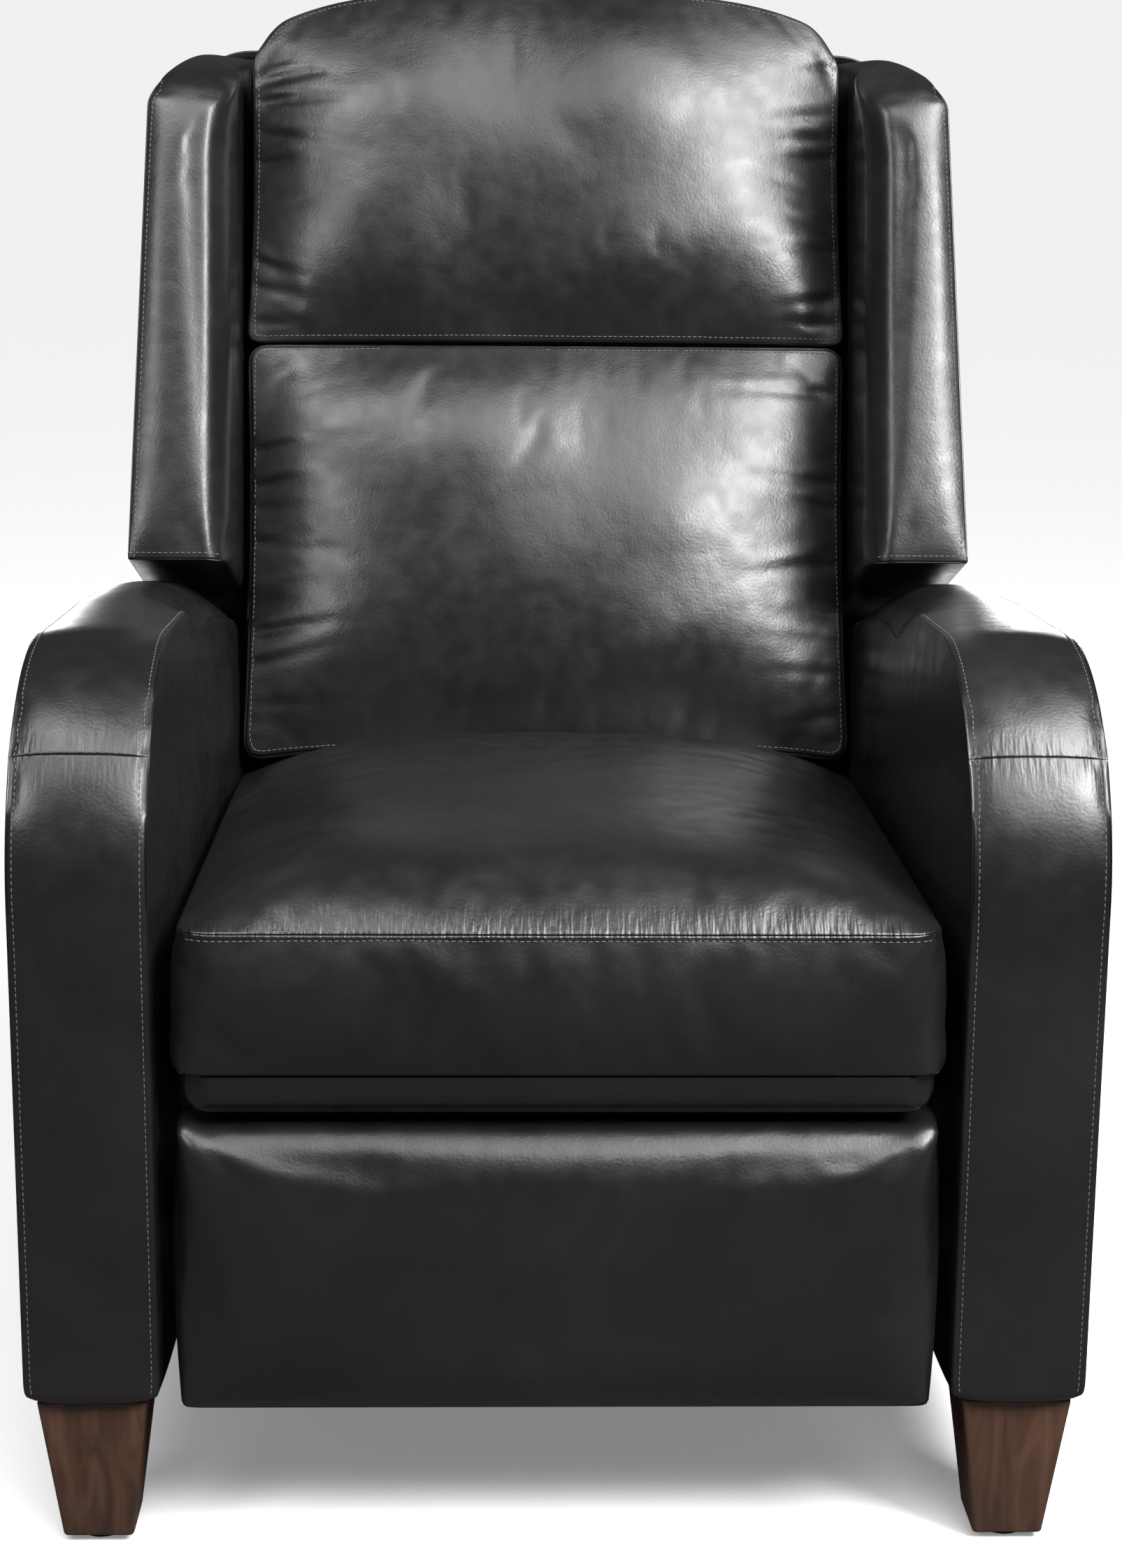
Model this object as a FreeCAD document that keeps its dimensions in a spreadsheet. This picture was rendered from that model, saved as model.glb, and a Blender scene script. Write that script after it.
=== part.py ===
import FreeCAD, Part
import math
import os
import Sketcher
from FreeCAD import Placement, Rotation, Vector

# Pushback recliner, in millimetres: X to the sitter's left-right, Y to the rear, Z up.
# The sheet holds the driving sizes. A depth is measured to the rear from the arms' front plane.
doc = FreeCAD.newDocument("pushback_recliner")
sheet = doc.addObject("Spreadsheet::Sheet", "sheet")

SIZES = {
    "front_y": -426.5,
    "fit_gap": 0.3,
    "hole_gap": 0.06,
    # arms
    "arm_inner_x": 272,
    "arm_width": 108,
    "arm_bottom_z": 116,
    "arm_behind_hinge": 100,
    "arm_top_z": 642,
    "arm_nose_radius": 165,
    "arm_shoulder_to_end": 210,
    "arm_shoulder_z": 634,
    "arm_shoulder_radius": 160,
    "arm_tail_to_end": 80,
    "arm_tail_z": 590,
    "arm_tail_radius": 120,
    "arm_end_z": 552,
    "arm_end_radius": 50,
    "arm_edge_radius": 20,
    "arm_wall": 20,
    "arm_end_wall": 24,
    "arm_frame_top_z": 515,
    "arm_rear_post_top_z": 430,
    "arm_post_depth": 46,
    "arm_rail_height": 70,
    "arm_rail_width": 30,
    # legs
    "leg_x": 327,
    "leg_top": 78,
    "leg_foot": 50,
    "front_leg_depth": 48,
    "rear_leg_to_arm_end": 48,
    "rear_leg_rake": 22,
    "glide_radius": 16,
    "glide_height": 5,
    "bolt_radius": 4,
    "bolt_in_leg": 60,
    "bolt_in_frame": 45,
    # rails of the base
    "stretcher_depth": 258,
    "stretcher_thickness": 30,
    "stretcher_height": 60,
    "rear_rail_to_hinge": 60,
    "rear_rail_thickness": 24,
    "rear_rail_bottom_z": 126,
    "rear_rail_height": 200,
    "rear_cover_thickness": 8,
    "rear_cover_height": 214,
    "rear_cover_drop": 7,
    # steel layers, from the arm inwards
    "plate_thickness": 4,
    "layer_gap": 2,
    "seat_plate_x": 250,
    "base_plate_thickness": 3.7,
    "base_plate_front": 100,
    "base_plate_bottom_z": 250,
    "base_plate_height": 95,
    "guide_lug_to_hinge": 22,
    "guide_lug_height": 140,
    "guide_slot_gap": 1.9,
    "screw_radius": 3,
    "screw_head_radius": 6,
    "screw_head_height": 2,
    "screw_length": 16,
    "screw_edge_gap": 20,
    "screw_step": 125,
    "screw_row_gap": 14,
    # pivots, as depth and height
    "seat_travel": 55,
    "track_rise": 6,
    "recline": 25,
    "pin_radius": 4,
    "pin_head_radius": 7,
    "pin_head_height": 1.5,
    "link_radius": 9,
    "drive_depth": 110,
    "drive_z": 306,
    "turn_depth": -40,
    "turn_z": 410,
    "toe_depth": 90,
    "toe_z": 236,
    "follower_step": 41,
    "follower_lift": 28.5,
    "steady_share": 0.304,
    "lever_share": 0.187,
    "fork_gap": 1.9,
    "fork_prong": 6,
    "fork_top_z": 356,
    "fork_neck_rise": 20,
    "fork_foot_rise": 10,
    "drive_arm_spare": 2,
    "tube_depth": 300,
    "tube_z": 266,
    "tube_radius": 12,
    "tube_wall": 2.5,
    "hinge_depth": 580,
    "hinge_z": 330,
    "guide_pin_radius": 5,
    "guide_pin_height": 142,
    # rollers
    "roller_radius": 13,
    "roller_width": 7,
    "roller_play": 0.3,
    "front_roller_depth": 172,
    "rear_roller_to_hinge": 80,
    "roller_z": 324,
    "track_wall": 3,
    "track_width": 14,
    "track_spare": 6,
    # seat carriage
    "seat_plate_front": 45,
    "hinge_plate_margin": 11,
    "seat_plate_bottom_z": 292,
    "seat_plate_top_z": 364,
    "seat_flange_width": 52,
    "seat_rail_height": 19,
    "seat_front_rail_front": 18,
    "seat_front_rail_bottom_z": 350,
    "seat_front_rail_thickness": 27,
    "seat_rear_rail_to_hinge": 24,
    "seat_rear_rail_thickness": 26,
    "seat_tube_depth": 420,
    "seat_tube_z": 314,
    "spring_wire_radius": 1.9,
    "spring_loop_radius": 14,
    "spring_swing": 20,
    "seat_spring_side_gap": 10,
    # seat cushion and the band under it
    "seat_half_width": 267,
    "seat_front_depth": -10,
    "seat_back_gap": 32,
    "seat_nose_z": 362,
    "seat_nose_depth": 17.7,
    "seat_seam_z": 462,
    "seat_crown": 40,
    "seat_rear_roll": 120,
    "seat_front_bulge": 9,
    "seat_roll_radius": 16,
    "seat_draw": 9,
    "band_half_width": 259,
    "band_bottom_z": 332,
    "band_front_depth": 2,
    # footrest
    "footrest_half_width": 264,
    "footrest_top_z": 328,
    "footrest_bottom_z": 112,
    "footrest_pad_front": -6,
    "footrest_pad_bulge": 9,
    "footrest_roll_radius": 18,
    "footrest_draw": 7,
    "footrest_board_front": 20,
    "footrest_board_thickness": 16,
    "footrest_board_inset": 8,
    "bracket_foot_depth": 45,
    "bracket_flange_width": 40,
    "bracket_flange_thickness": 3,
    "bracket_flange_height": 78,
    # back, in its own raked axes through the hinge
    "back_rake": 19,
    "stile_inner_x": 200,
    "stile_outer_x": 239.7,
    "stile_front": -10,
    "stile_depth": 45,
    "stile_bottom_z": 14,
    "stile_top_z": 778,
    "back_rail_height": 56,
    "bottom_rail_low_z": 26,
    "middle_rail_low_z": 370,
    "middle_rail_front": 16,
    "back_spring_side_gap": 26,
    "back_spring_front": 2,
    "back_bracket_radius": 17,
    "back_bracket_length": 225,
    "cushion_seam_front": -124,
    "cushion_half_width": 259,
    "cushion_crown": 42,
    "cushion_draw": 16,
    "cushion_roll_radius": 30,
    "lumbar_low_z": 119,
    "lumbar_high_z": 474,
    "head_low_z": 476,
    "head_high_z": 806,
    "head_arch": 42,
    "wing_inner_x": 263,
    "wing_thickness": 81,
    "wing_front": -249,
    "wing_rear": 34.7,
    "wing_low_front_z": 258,
    "wing_low_rear_z": 258,
    "wing_high_front_z": 652,
    "wing_high_rear_z": 790,
    "wing_corner_radius": 46,
    "wing_low_corner_radius": 30,
    "wing_rear_corner_radius": 26,
    "wing_edge_radius": 20,
    "wing_top_inset_inner": 8,
    "wing_top_inset_outer": 10,
    "wing_frame_x": 302,
    "wing_frame_thickness": 16,
    "wing_frame_inset": 28,
    "wing_rail_low_z": 300,
    "wing_rail_high_z": 550,
    "wing_rail_height": 50,
    "wing_rail_depth": 30,
    "panel_thickness": 10,
    "panel_half_width": 332,
    "panel_low_half_width": 254,
    "panel_bottom_z": -24,
    "panel_step_z": 238,
    "panel_top_z": 790,
    "panel_corner_radius": 60,
}


def fill_sheet():
    row = 1
    for alias, number in SIZES.items():
        sheet.set(f"A{row}", alias)
        sheet.set(f"B{row}", str(number))
        sheet.setAlias(f"B{row}", alias)
        row += 1
    doc.recompute()


class Size:
    """A size of the sheet, or a sum of such sizes: its formula and its number."""

    def __init__(self, formula, number):
        self.formula = formula
        self.number = number

    def joined(self, sign, other, number):
        return Size(f"({self.formula} {sign} {other.formula})", number)

    def __add__(self, other):
        other = as_size(other)
        return self.joined("+", other, self.number + other.number)

    def __sub__(self, other):
        other = as_size(other)
        return self.joined("-", other, self.number - other.number)

    def __mul__(self, other):
        other = as_size(other)
        return self.joined("*", other, self.number * other.number)

    def __truediv__(self, other):
        other = as_size(other)
        return self.joined("/", other, self.number / other.number)

    def __radd__(self, other):
        return as_size(other) + self

    def __rsub__(self, other):
        return as_size(other) - self

    def __rmul__(self, other):
        return as_size(other) * self

    def __neg__(self):
        return Size(f"(0 - {self.formula})", -self.number)


def as_size(value):
    if isinstance(value, Size):
        return value
    return Size(repr(float(value)), float(value))


class SheetSizes:
    def __getattr__(self, alias):
        return Size(f"sheet.{alias}", float(sheet.get(alias)))


def sin_of(angle):
    return Size(f"sin({angle.formula} * 1 deg)", math.sin(math.radians(angle.number)))


def cos_of(angle):
    return Size(f"cos({angle.formula} * 1 deg)", math.cos(math.radians(angle.number)))


fill_sheet()
S = SheetSizes()
SIDES = (("left", -1), ("right", 1))
FINISHED = []


def depth(value):
    return S.front_y + value


def bind(thing, prop, value):
    thing.setExpression(prop, as_size(value).formula)


def move_to(thing, x, y, z):
    bind(thing, "Placement.Base.x", x)
    bind(thing, "Placement.Base.y", y)
    bind(thing, "Placement.Base.z", z)


def span(side, near, far):
    """The low and high X of a stretch from near to far of the middle, on one side."""
    near = as_size(near)
    far = as_size(far)
    if side > 0:
        return near, far
    return -far, -near


def box(name, x, y, z):
    thing = doc.addObject("Part::Box", name)
    bind(thing, "Length", x[1] - x[0])
    bind(thing, "Width", y[1] - y[0])
    bind(thing, "Height", z[1] - z[0])
    move_to(thing, x[0], y[0], z[0])
    return thing


def rod(name, x, y, z, radius):
    """A cylinder along X from x[0] to x[1]."""
    thing = doc.addObject("Part::Cylinder", name)
    thing.Placement = Placement(Vector(), Rotation(Vector(0, 1, 0), 90))
    bind(thing, "Radius", radius)
    bind(thing, "Height", x[1] - x[0])
    move_to(thing, x[0], y, z)
    return thing


def post(name, x, y, z, radius):
    """A cylinder along Z from z[0] to z[1]."""
    thing = doc.addObject("Part::Cylinder", name)
    bind(thing, "Radius", radius)
    bind(thing, "Height", z[1] - z[0])
    move_to(thing, x, y, z[0])
    return thing


def fuse(name, *shapes):
    thing = doc.addObject("Part::MultiFuse", name)
    thing.Shapes = list(shapes)
    thing.Refine = True
    return thing


def cut(name, base, *tools):
    thing = doc.addObject("Part::Cut", name)
    thing.Base = base
    thing.Tool = tools[0] if len(tools) == 1 else fuse(name + "_tools", *tools)
    thing.Refine = True
    return thing


def group(name, shapes):
    thing = doc.addObject("Part::Compound", name)
    thing.Links = list(shapes)
    return thing


def finished(label, thing):
    thing.Label = label
    FINISHED.append(thing)
    return thing


def rake_back(thing):
    """Sets a piece drawn in the back's own axes on the hinge, leaning by the rake."""
    thing.Placement = Placement(Vector(), Rotation(Vector(-1, 0, 0), S.back_rake.number))
    bind(thing, "Placement.Rotation.Angle", S.back_rake)
    move_to(thing, 0, depth(S.hinge_depth), S.hinge_z)
    return thing


def plane_sketch(body, role):
    sketch = body.newObject("Sketcher::SketchObject", body.Name + "_sketch")
    plane = [feature for feature in body.Origin.OriginFeatures if feature.Role == role][0]
    sketch.AttachmentSupport = [(plane, "")]
    sketch.MapMode = "FlatFace"
    return sketch


def pin_point(sketch, geometry, position, point):
    """Holds a sketch point at (across, up) from the sketch's origin."""
    for kind, value in (("DistanceX", point[0]), ("DistanceY", point[1])):
        index = sketch.addConstraint(
            Sketcher.Constraint(kind, -1, 1, geometry, position, as_size(value).number)
        )
        bind(sketch, f"Constraints[{index}]", value)


def pad_body(body, sketch, x, length):
    pad = body.newObject("PartDesign::Pad", body.Name + "_pad")
    pad.Profile = sketch
    bind(pad, "Length", length)
    sketch.Visibility = False
    body.Tip = pad
    move_to(body, x, 0, 0)
    return pad


def hull_plate(name, x, centres, radius, holes=(), hole_radius=None):
    """A flat plate from x[0] to x[1] around a convex, counter-clockwise ring of (y, z) centres."""
    body = doc.addObject("PartDesign::Body", name)
    sketch = plane_sketch(body, "YZ_Plane")
    spots = [Vector(as_size(c[0]).number, as_size(c[1]).number, 0) for c in centres]
    count = len(spots)
    normals = []
    for index in range(count):
        along = spots[(index + 1) % count] - spots[index]
        along.normalize()
        normals.append(Vector(along.y, -along.x, 0))
    arcs = []
    lines = []
    for index, spot in enumerate(spots):
        before = normals[index - 1]
        after = normals[index]
        start = math.atan2(before.y, before.x)
        end = math.atan2(after.y, after.x)
        if end <= start:
            end += 2 * math.pi
        circle = Part.Circle(spot, Vector(0, 0, 1), radius.number)
        arcs.append(sketch.addGeometry(Part.ArcOfCircle(circle, start, end)))
        following = spots[(index + 1) % count]
        reach = after * radius.number
        lines.append(sketch.addGeometry(Part.LineSegment(spot + reach, following + reach)))
    for index in range(count):
        sketch.addConstraint(Sketcher.Constraint("Tangent", arcs[index], 2, lines[index], 1))
        sketch.addConstraint(
            Sketcher.Constraint("Tangent", lines[index], 2, arcs[(index + 1) % count], 1)
        )
        pin_point(sketch, arcs[index], 3, centres[index])
        if index:
            sketch.addConstraint(Sketcher.Constraint("Equal", arcs[0], arcs[index]))
    size = sketch.addConstraint(Sketcher.Constraint("Radius", arcs[0], radius.number))
    bind(sketch, f"Constraints[{size}]", radius)
    for hole in holes:
        spot = Vector(as_size(hole[0]).number, as_size(hole[1]).number, 0)
        circle = sketch.addGeometry(Part.Circle(spot, Vector(0, 0, 1), hole_radius.number))
        pin_point(sketch, circle, 3, hole)
        size = sketch.addConstraint(Sketcher.Constraint("Radius", circle, hole_radius.number))
        bind(sketch, f"Constraints[{size}]", hole_radius)
    pad_body(body, sketch, x[0], x[1] - x[0])
    return body


def side_body(name, x, corners, rounded):
    """A solid from x[0] to x[1] with a side outline of (y, z) corners, clockwise from the front foot.

    rounded maps a corner's number to its radius."""
    body = doc.addObject("PartDesign::Body", name)
    sketch = plane_sketch(body, "YZ_Plane")
    count = len(corners)
    spots = [Vector(as_size(c[0]).number, as_size(c[1]).number, 0) for c in corners]
    for index in range(count):
        sketch.addGeometry(Part.LineSegment(spots[index], spots[(index + 1) % count]))
    for index in range(count):
        sketch.addConstraint(
            Sketcher.Constraint("Coincident", index, 2, (index + 1) % count, 1)
        )
    for index, corner in enumerate(corners):
        pin_point(sketch, index, 1, corner)
    pad_body(body, sketch, x[0], x[1] - x[0])
    doc.recompute()
    for number, (index, radius) in enumerate(rounded.items()):
        tip = body.Tip
        names = [
            f"Edge{k + 1}"
            for k, edge in enumerate(tip.Shape.Edges)
            if edge.Length > 1
            and all(
                math.hypot(v.Y - spots[index].x, v.Z - spots[index].y) < 0.01
                for v in edge.Vertexes
            )
            and len(edge.Vertexes) == 2
        ]
        soft = body.newObject("PartDesign::Fillet", f"{name}_corner{number}")
        soft.Base = (tip, names)
        bind(soft, "Radius", radius)
        body.Tip = soft
        doc.recompute()
    return body


def soften_rims(name, base, radius, keep):
    """Rounds every edge that doesn't run across the chair, apart from those that keep holds sharp."""
    doc.recompute()
    rims = []
    for number, edge in enumerate(base.Shape.Edges, 1):
        ends = [vertex.Point for vertex in edge.Vertexes]
        across = abs(ends[0].x - ends[-1].x) > 15
        if not across and not keep(ends):
            rims.append((number, radius.number, radius.number))
    soft = doc.addObject("Part::Fillet", name)
    soft.Base = base
    soft.Edges = rims
    return soft


# Places of the pivots. The footrest turns about a point ahead of the seat: its two pairs of
# links are parallelograms, so the swing of the drive links equals the footrest's own turn.
swing_y = S.toe_depth - S.turn_depth
swing_z = S.toe_z - S.turn_z
drive_pivot = (depth(S.drive_depth), S.drive_z)
toe_pivot = (depth(S.toe_depth), S.toe_z)
heel_pivot = (drive_pivot[0] + swing_y, drive_pivot[1] + swing_z)
steady_low = (heel_pivot[0] - swing_y * S.steady_share, heel_pivot[1] - swing_z * S.steady_share)
steady_high = (toe_pivot[0] - swing_y * S.steady_share, toe_pivot[1] - swing_z * S.steady_share)
lever_pivot = (drive_pivot[0] - swing_y * S.lever_share, drive_pivot[1] - swing_z * S.lever_share)
follower_pivot = (drive_pivot[0] - S.follower_step, drive_pivot[1] + S.follower_lift)
follower_low = (heel_pivot[0] - S.follower_step, heel_pivot[1] + S.follower_lift)
hinge_pivot = (depth(S.hinge_depth), S.hinge_z)
arm_end = hinge_pivot[0] + S.arm_behind_hinge
rear_rail_start = hinge_pivot[0] + S.rear_rail_to_hinge
seat_rail_end = hinge_pivot[0] - S.seat_rear_rail_to_hinge
front_axle = (depth(S.front_roller_depth), S.roller_z)
rear_axle = (hinge_pivot[0] - S.rear_roller_to_hinge, S.roller_z)
tube_axis = (depth(S.tube_depth), S.tube_z)

# Lateral layers of the steel: the seat plate, then three layers of links inside it.
pitch = S.plate_thickness + S.layer_gap
seat_layer = (S.seat_plate_x - S.plate_thickness, S.seat_plate_x)
layer_a = (seat_layer[0] - pitch, seat_layer[1] - pitch)
layer_b = (layer_a[0] - pitch, layer_a[1] - pitch)
layer_c = (layer_b[0] - pitch, layer_b[1] - pitch)
plate_rear = rear_rail_start - S.fit_gap
base_layer = (S.arm_inner_x - S.fit_gap - S.base_plate_thickness, S.arm_inner_x - S.fit_gap)
pin_hole = S.pin_radius + S.hole_gap
bolt_hole = S.bolt_radius + S.hole_gap
screw_hole = S.screw_radius + S.hole_gap


def pin(name, side, near, far, spot):
    """A rivet along X through the layers from near to far, with a head at each end."""
    shank = rod(name + "_shank", span(side, near, far), spot[0], spot[1], S.pin_radius)
    inner = span(side, near - S.pin_head_height, near)
    outer = span(side, far, far + S.pin_head_height)
    inner_head = rod(name + "_inner", inner, spot[0], spot[1], S.pin_head_radius)
    outer_head = rod(name + "_outer", outer, spot[0], spot[1], S.pin_head_radius)
    return fuse(name, shank, inner_head, outer_head)


def pins(label, kind, near, far, spots):
    made = []
    for name, side in SIDES:
        for number, spot in enumerate(spots):
            made.append(pin(f"{kind}_{name}{number}", side, near, far, spot))
    finished(label, group(kind, made))


def arm_outline():
    """Corners of an arm seen from the side, clockwise from the front foot."""
    return [
        (depth(0), S.arm_bottom_z),
        (depth(0), S.arm_top_z),
        (arm_end - S.arm_shoulder_to_end, S.arm_shoulder_z),
        (arm_end - S.arm_tail_to_end, S.arm_tail_z),
        (arm_end, S.arm_end_z),
        (arm_end, S.arm_bottom_z),
    ]


plate_front = depth(S.base_plate_front)
screw_spots = [
    (plate_front + S.screw_edge_gap, S.base_plate_bottom_z + S.screw_edge_gap),
    (plate_front + S.screw_edge_gap + S.screw_step, S.base_plate_bottom_z + S.screw_row_gap),
    (plate_rear - S.screw_edge_gap - S.screw_step, S.base_plate_bottom_z + S.screw_row_gap),
    (plate_rear - S.screw_edge_gap, S.base_plate_bottom_z + S.screw_edge_gap),
]


def base_screw(name, side, spot, extra):
    """A pan-head screw from inside the base plate into the arm."""
    head = (base_layer[0] - S.screw_head_height, base_layer[0])
    shank = (base_layer[0], base_layer[0] + S.screw_length)
    bar = rod(name + "_shank", span(side, *shank), spot[0], spot[1], S.screw_radius + extra)
    cap = rod(name + "_head", span(side, *head), spot[0], spot[1], S.screw_head_radius)
    return bar, cap


def build_arms():
    screws = []
    inner = S.arm_inner_x + S.arm_wall
    outer = S.arm_inner_x + S.arm_width - S.arm_wall
    front = depth(S.arm_end_wall)
    rear = arm_end - S.arm_end_wall
    rear_start = rear - S.arm_post_depth
    middle = (inner + outer) / 2
    for name, side in SIDES:
        body = side_body(
            f"{name}_arm_body",
            span(side, S.arm_inner_x, S.arm_inner_x + S.arm_width),
            arm_outline(),
            {1: S.arm_nose_radius, 2: S.arm_shoulder_radius, 3: S.arm_tail_radius,
             4: S.arm_end_radius},
        )
        foot = S.arm_bottom_z.number
        body = soften_rims(f"{name}_arm_soft", body, S.arm_edge_radius,
                           lambda ends: all(abs(end.z - foot) < 0.01 for end in ends))
        low = S.arm_bottom_z - 1
        room = box(f"{name}_arm_room", span(side, inner, outer), (front, rear_start),
                   (low, S.arm_frame_top_z))
        back_room = box(f"{name}_arm_back_room", span(side, inner, outer), (rear_start, rear),
                        (low, S.arm_rear_post_top_z))
        holes = []
        for number, spot in enumerate(screw_spots):
            hole, cap = base_screw(f"{name}_arm_hole{number}", side, spot, S.hole_gap)
            doc.removeObject(cap.Name)
            holes.append(hole)
            bar, head = base_screw(f"{name}_screw{number}", side, spot, as_size(0))
            screws.append(fuse(f"{name}_base_screw{number}", bar, head))
        finished(f"{name}_arm_upholstery",
                 cut(f"{name}_arm_cover", body, room, back_room, *holes))

        wide = span(side, inner + S.fit_gap, outer - S.fit_gap)
        narrow = span(side, middle - S.arm_rail_width / 2, middle + S.arm_rail_width / 2)
        front_post = (front + S.fit_gap, front + S.arm_post_depth)
        rear_post = (rear_start, rear - S.fit_gap)
        between = (front_post[1], rear_post[0])
        frame = fuse(
            f"{name}_arm_wood",
            box(f"{name}_front_post", wide, front_post,
                (S.arm_bottom_z, S.arm_frame_top_z - S.fit_gap)),
            box(f"{name}_rear_post", wide, rear_post,
                (S.arm_bottom_z, S.arm_rear_post_top_z - S.fit_gap)),
            box(f"{name}_bottom_rail", narrow, between,
                (S.arm_bottom_z, S.arm_bottom_z + S.arm_rail_height)),
            box(f"{name}_top_rail", wide, (between[0], between[1] - S.fit_gap),
                (S.arm_frame_top_z - S.arm_rail_width, S.arm_frame_top_z - S.fit_gap)),
            box(f"{name}_brace", narrow, (between[1] - S.arm_rail_width, between[1]),
                (S.arm_bottom_z, S.arm_frame_top_z - S.arm_rail_width)),
        )
        bolts = [
            post(f"{name}_frame_hole{number}", side * S.leg_x, spot,
                 (S.arm_bottom_z - 1, S.arm_bottom_z + S.bolt_in_frame), bolt_hole)
            for number, spot in enumerate(leg_places())
        ]
        finished(f"{name}_arm_frame", cut(f"{name}_arm_frame_wood", frame, *bolts))
    finished("base_plate_screws", group("base_screws", screws))


def leg_places():
    return depth(S.front_leg_depth), arm_end - S.rear_leg_to_arm_end


def build_legs():
    bolts = []
    glides = []
    for name, side in SIDES:
        for end, place, rake in zip(("front", "rear"), leg_places(), (as_size(0), S.rear_leg_rake)):
            taper = doc.addObject("Part::Wedge", f"{end}_{name}_taper")
            taper.Placement = Placement(Vector(), Rotation(Vector(1, 0, 0), 90))
            bind(taper, "Xmin", -S.leg_foot / 2)
            bind(taper, "Xmax", S.leg_foot / 2)
            bind(taper, "Zmin", -S.leg_foot / 2 - rake)
            bind(taper, "Zmax", S.leg_foot / 2 - rake)
            bind(taper, "Ymin", 0)
            bind(taper, "Ymax", S.arm_bottom_z - S.glide_height)
            bind(taper, "X2min", -S.leg_top / 2)
            bind(taper, "X2max", S.leg_top / 2)
            bind(taper, "Z2min", -S.leg_top / 2)
            bind(taper, "Z2max", S.leg_top / 2)
            move_to(taper, side * S.leg_x, place, S.glide_height)
            low = S.arm_bottom_z - S.bolt_in_leg
            hole = post(f"{end}_{name}_leg_hole", side * S.leg_x, place,
                        (low, S.arm_bottom_z + 1), bolt_hole)
            finished(f"{end}_{name}_leg", cut(f"{end}_{name}_leg_wood", taper, hole))
            bolts.append(post(f"{end}_{name}_bolt", side * S.leg_x, place,
                              (low, S.arm_bottom_z + S.bolt_in_frame), S.bolt_radius))
            glides.append(post(f"{end}_{name}_glide", side * S.leg_x, place + rake,
                               (as_size(0), S.glide_height), S.glide_radius))
    finished("leg_bolts", group("hanger_bolts", bolts))
    finished("floor_glides", group("glides", glides))


def build_base_rails():
    across = (S.fit_gap - S.arm_inner_x, S.arm_inner_x - S.fit_gap)
    start = depth(S.stretcher_depth)
    finished("base_stretcher",
             box("stretcher", across, (start, start + S.stretcher_thickness),
                 (S.arm_bottom_z, S.arm_bottom_z + S.stretcher_height)))
    start = rear_rail_start
    end = start + S.rear_rail_thickness
    finished("base_rear_rail",
             box("rear_rail", across, (start, end),
                 (S.rear_rail_bottom_z, S.rear_rail_bottom_z + S.rear_rail_height)))
    low = S.rear_rail_bottom_z - S.rear_cover_drop
    finished("base_rear_cover",
             box("rear_cover", across, (end, end + S.rear_cover_thickness),
                 (low, low + S.rear_cover_height)))


def guide_path():
    """Both ends of the path of the back's guide pin, seen from the base."""
    start = (hinge_pivot[0] + S.guide_pin_height * sin_of(S.back_rake),
             hinge_pivot[1] + S.guide_pin_height * cos_of(S.back_rake))
    lean = S.back_rake + S.recline
    end = (hinge_pivot[0] + S.guide_pin_height * sin_of(lean)
           - S.seat_travel * cos_of(S.track_rise),
           hinge_pivot[1] + S.guide_pin_height * cos_of(lean)
           + S.seat_travel * sin_of(S.track_rise))
    return start, end


def track(name, side, axle):
    """A channel that lets a roller run forward and a little up."""
    clear = S.roller_radius + S.roller_play
    near = base_layer[0] - S.track_width
    reach = S.seat_travel + S.roller_radius + S.track_spare
    tail = S.roller_radius + S.track_spare
    outer = doc.addObject("Part::Box", name + "_outer")
    inner = doc.addObject("Part::Box", name + "_inner")
    low, high = span(side, near, base_layer[0])
    for thing, half, start, end in (
        (outer, clear + S.track_wall, low, high),
        (inner, clear, low - S.track_wall, high - S.track_wall),
    ):
        if side < 0 and thing is inner:
            start = low + S.track_wall
            end = high + S.track_wall
        bind(thing, "Length", end - start)
        bind(thing, "Width", reach + tail)
        bind(thing, "Height", half * 2)
        bind(thing, "Placement.Base.x", start)
        bind(thing, "Placement.Base.y", -reach)
        bind(thing, "Placement.Base.z", -half)
    channel = cut(name, outer, inner)
    channel.Placement = Placement(Vector(), Rotation(Vector(-1, 0, 0), S.track_rise.number))
    bind(channel, "Placement.Rotation.Angle", S.track_rise)
    move_to(channel, 0, axle[0], axle[1])
    return channel


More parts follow.
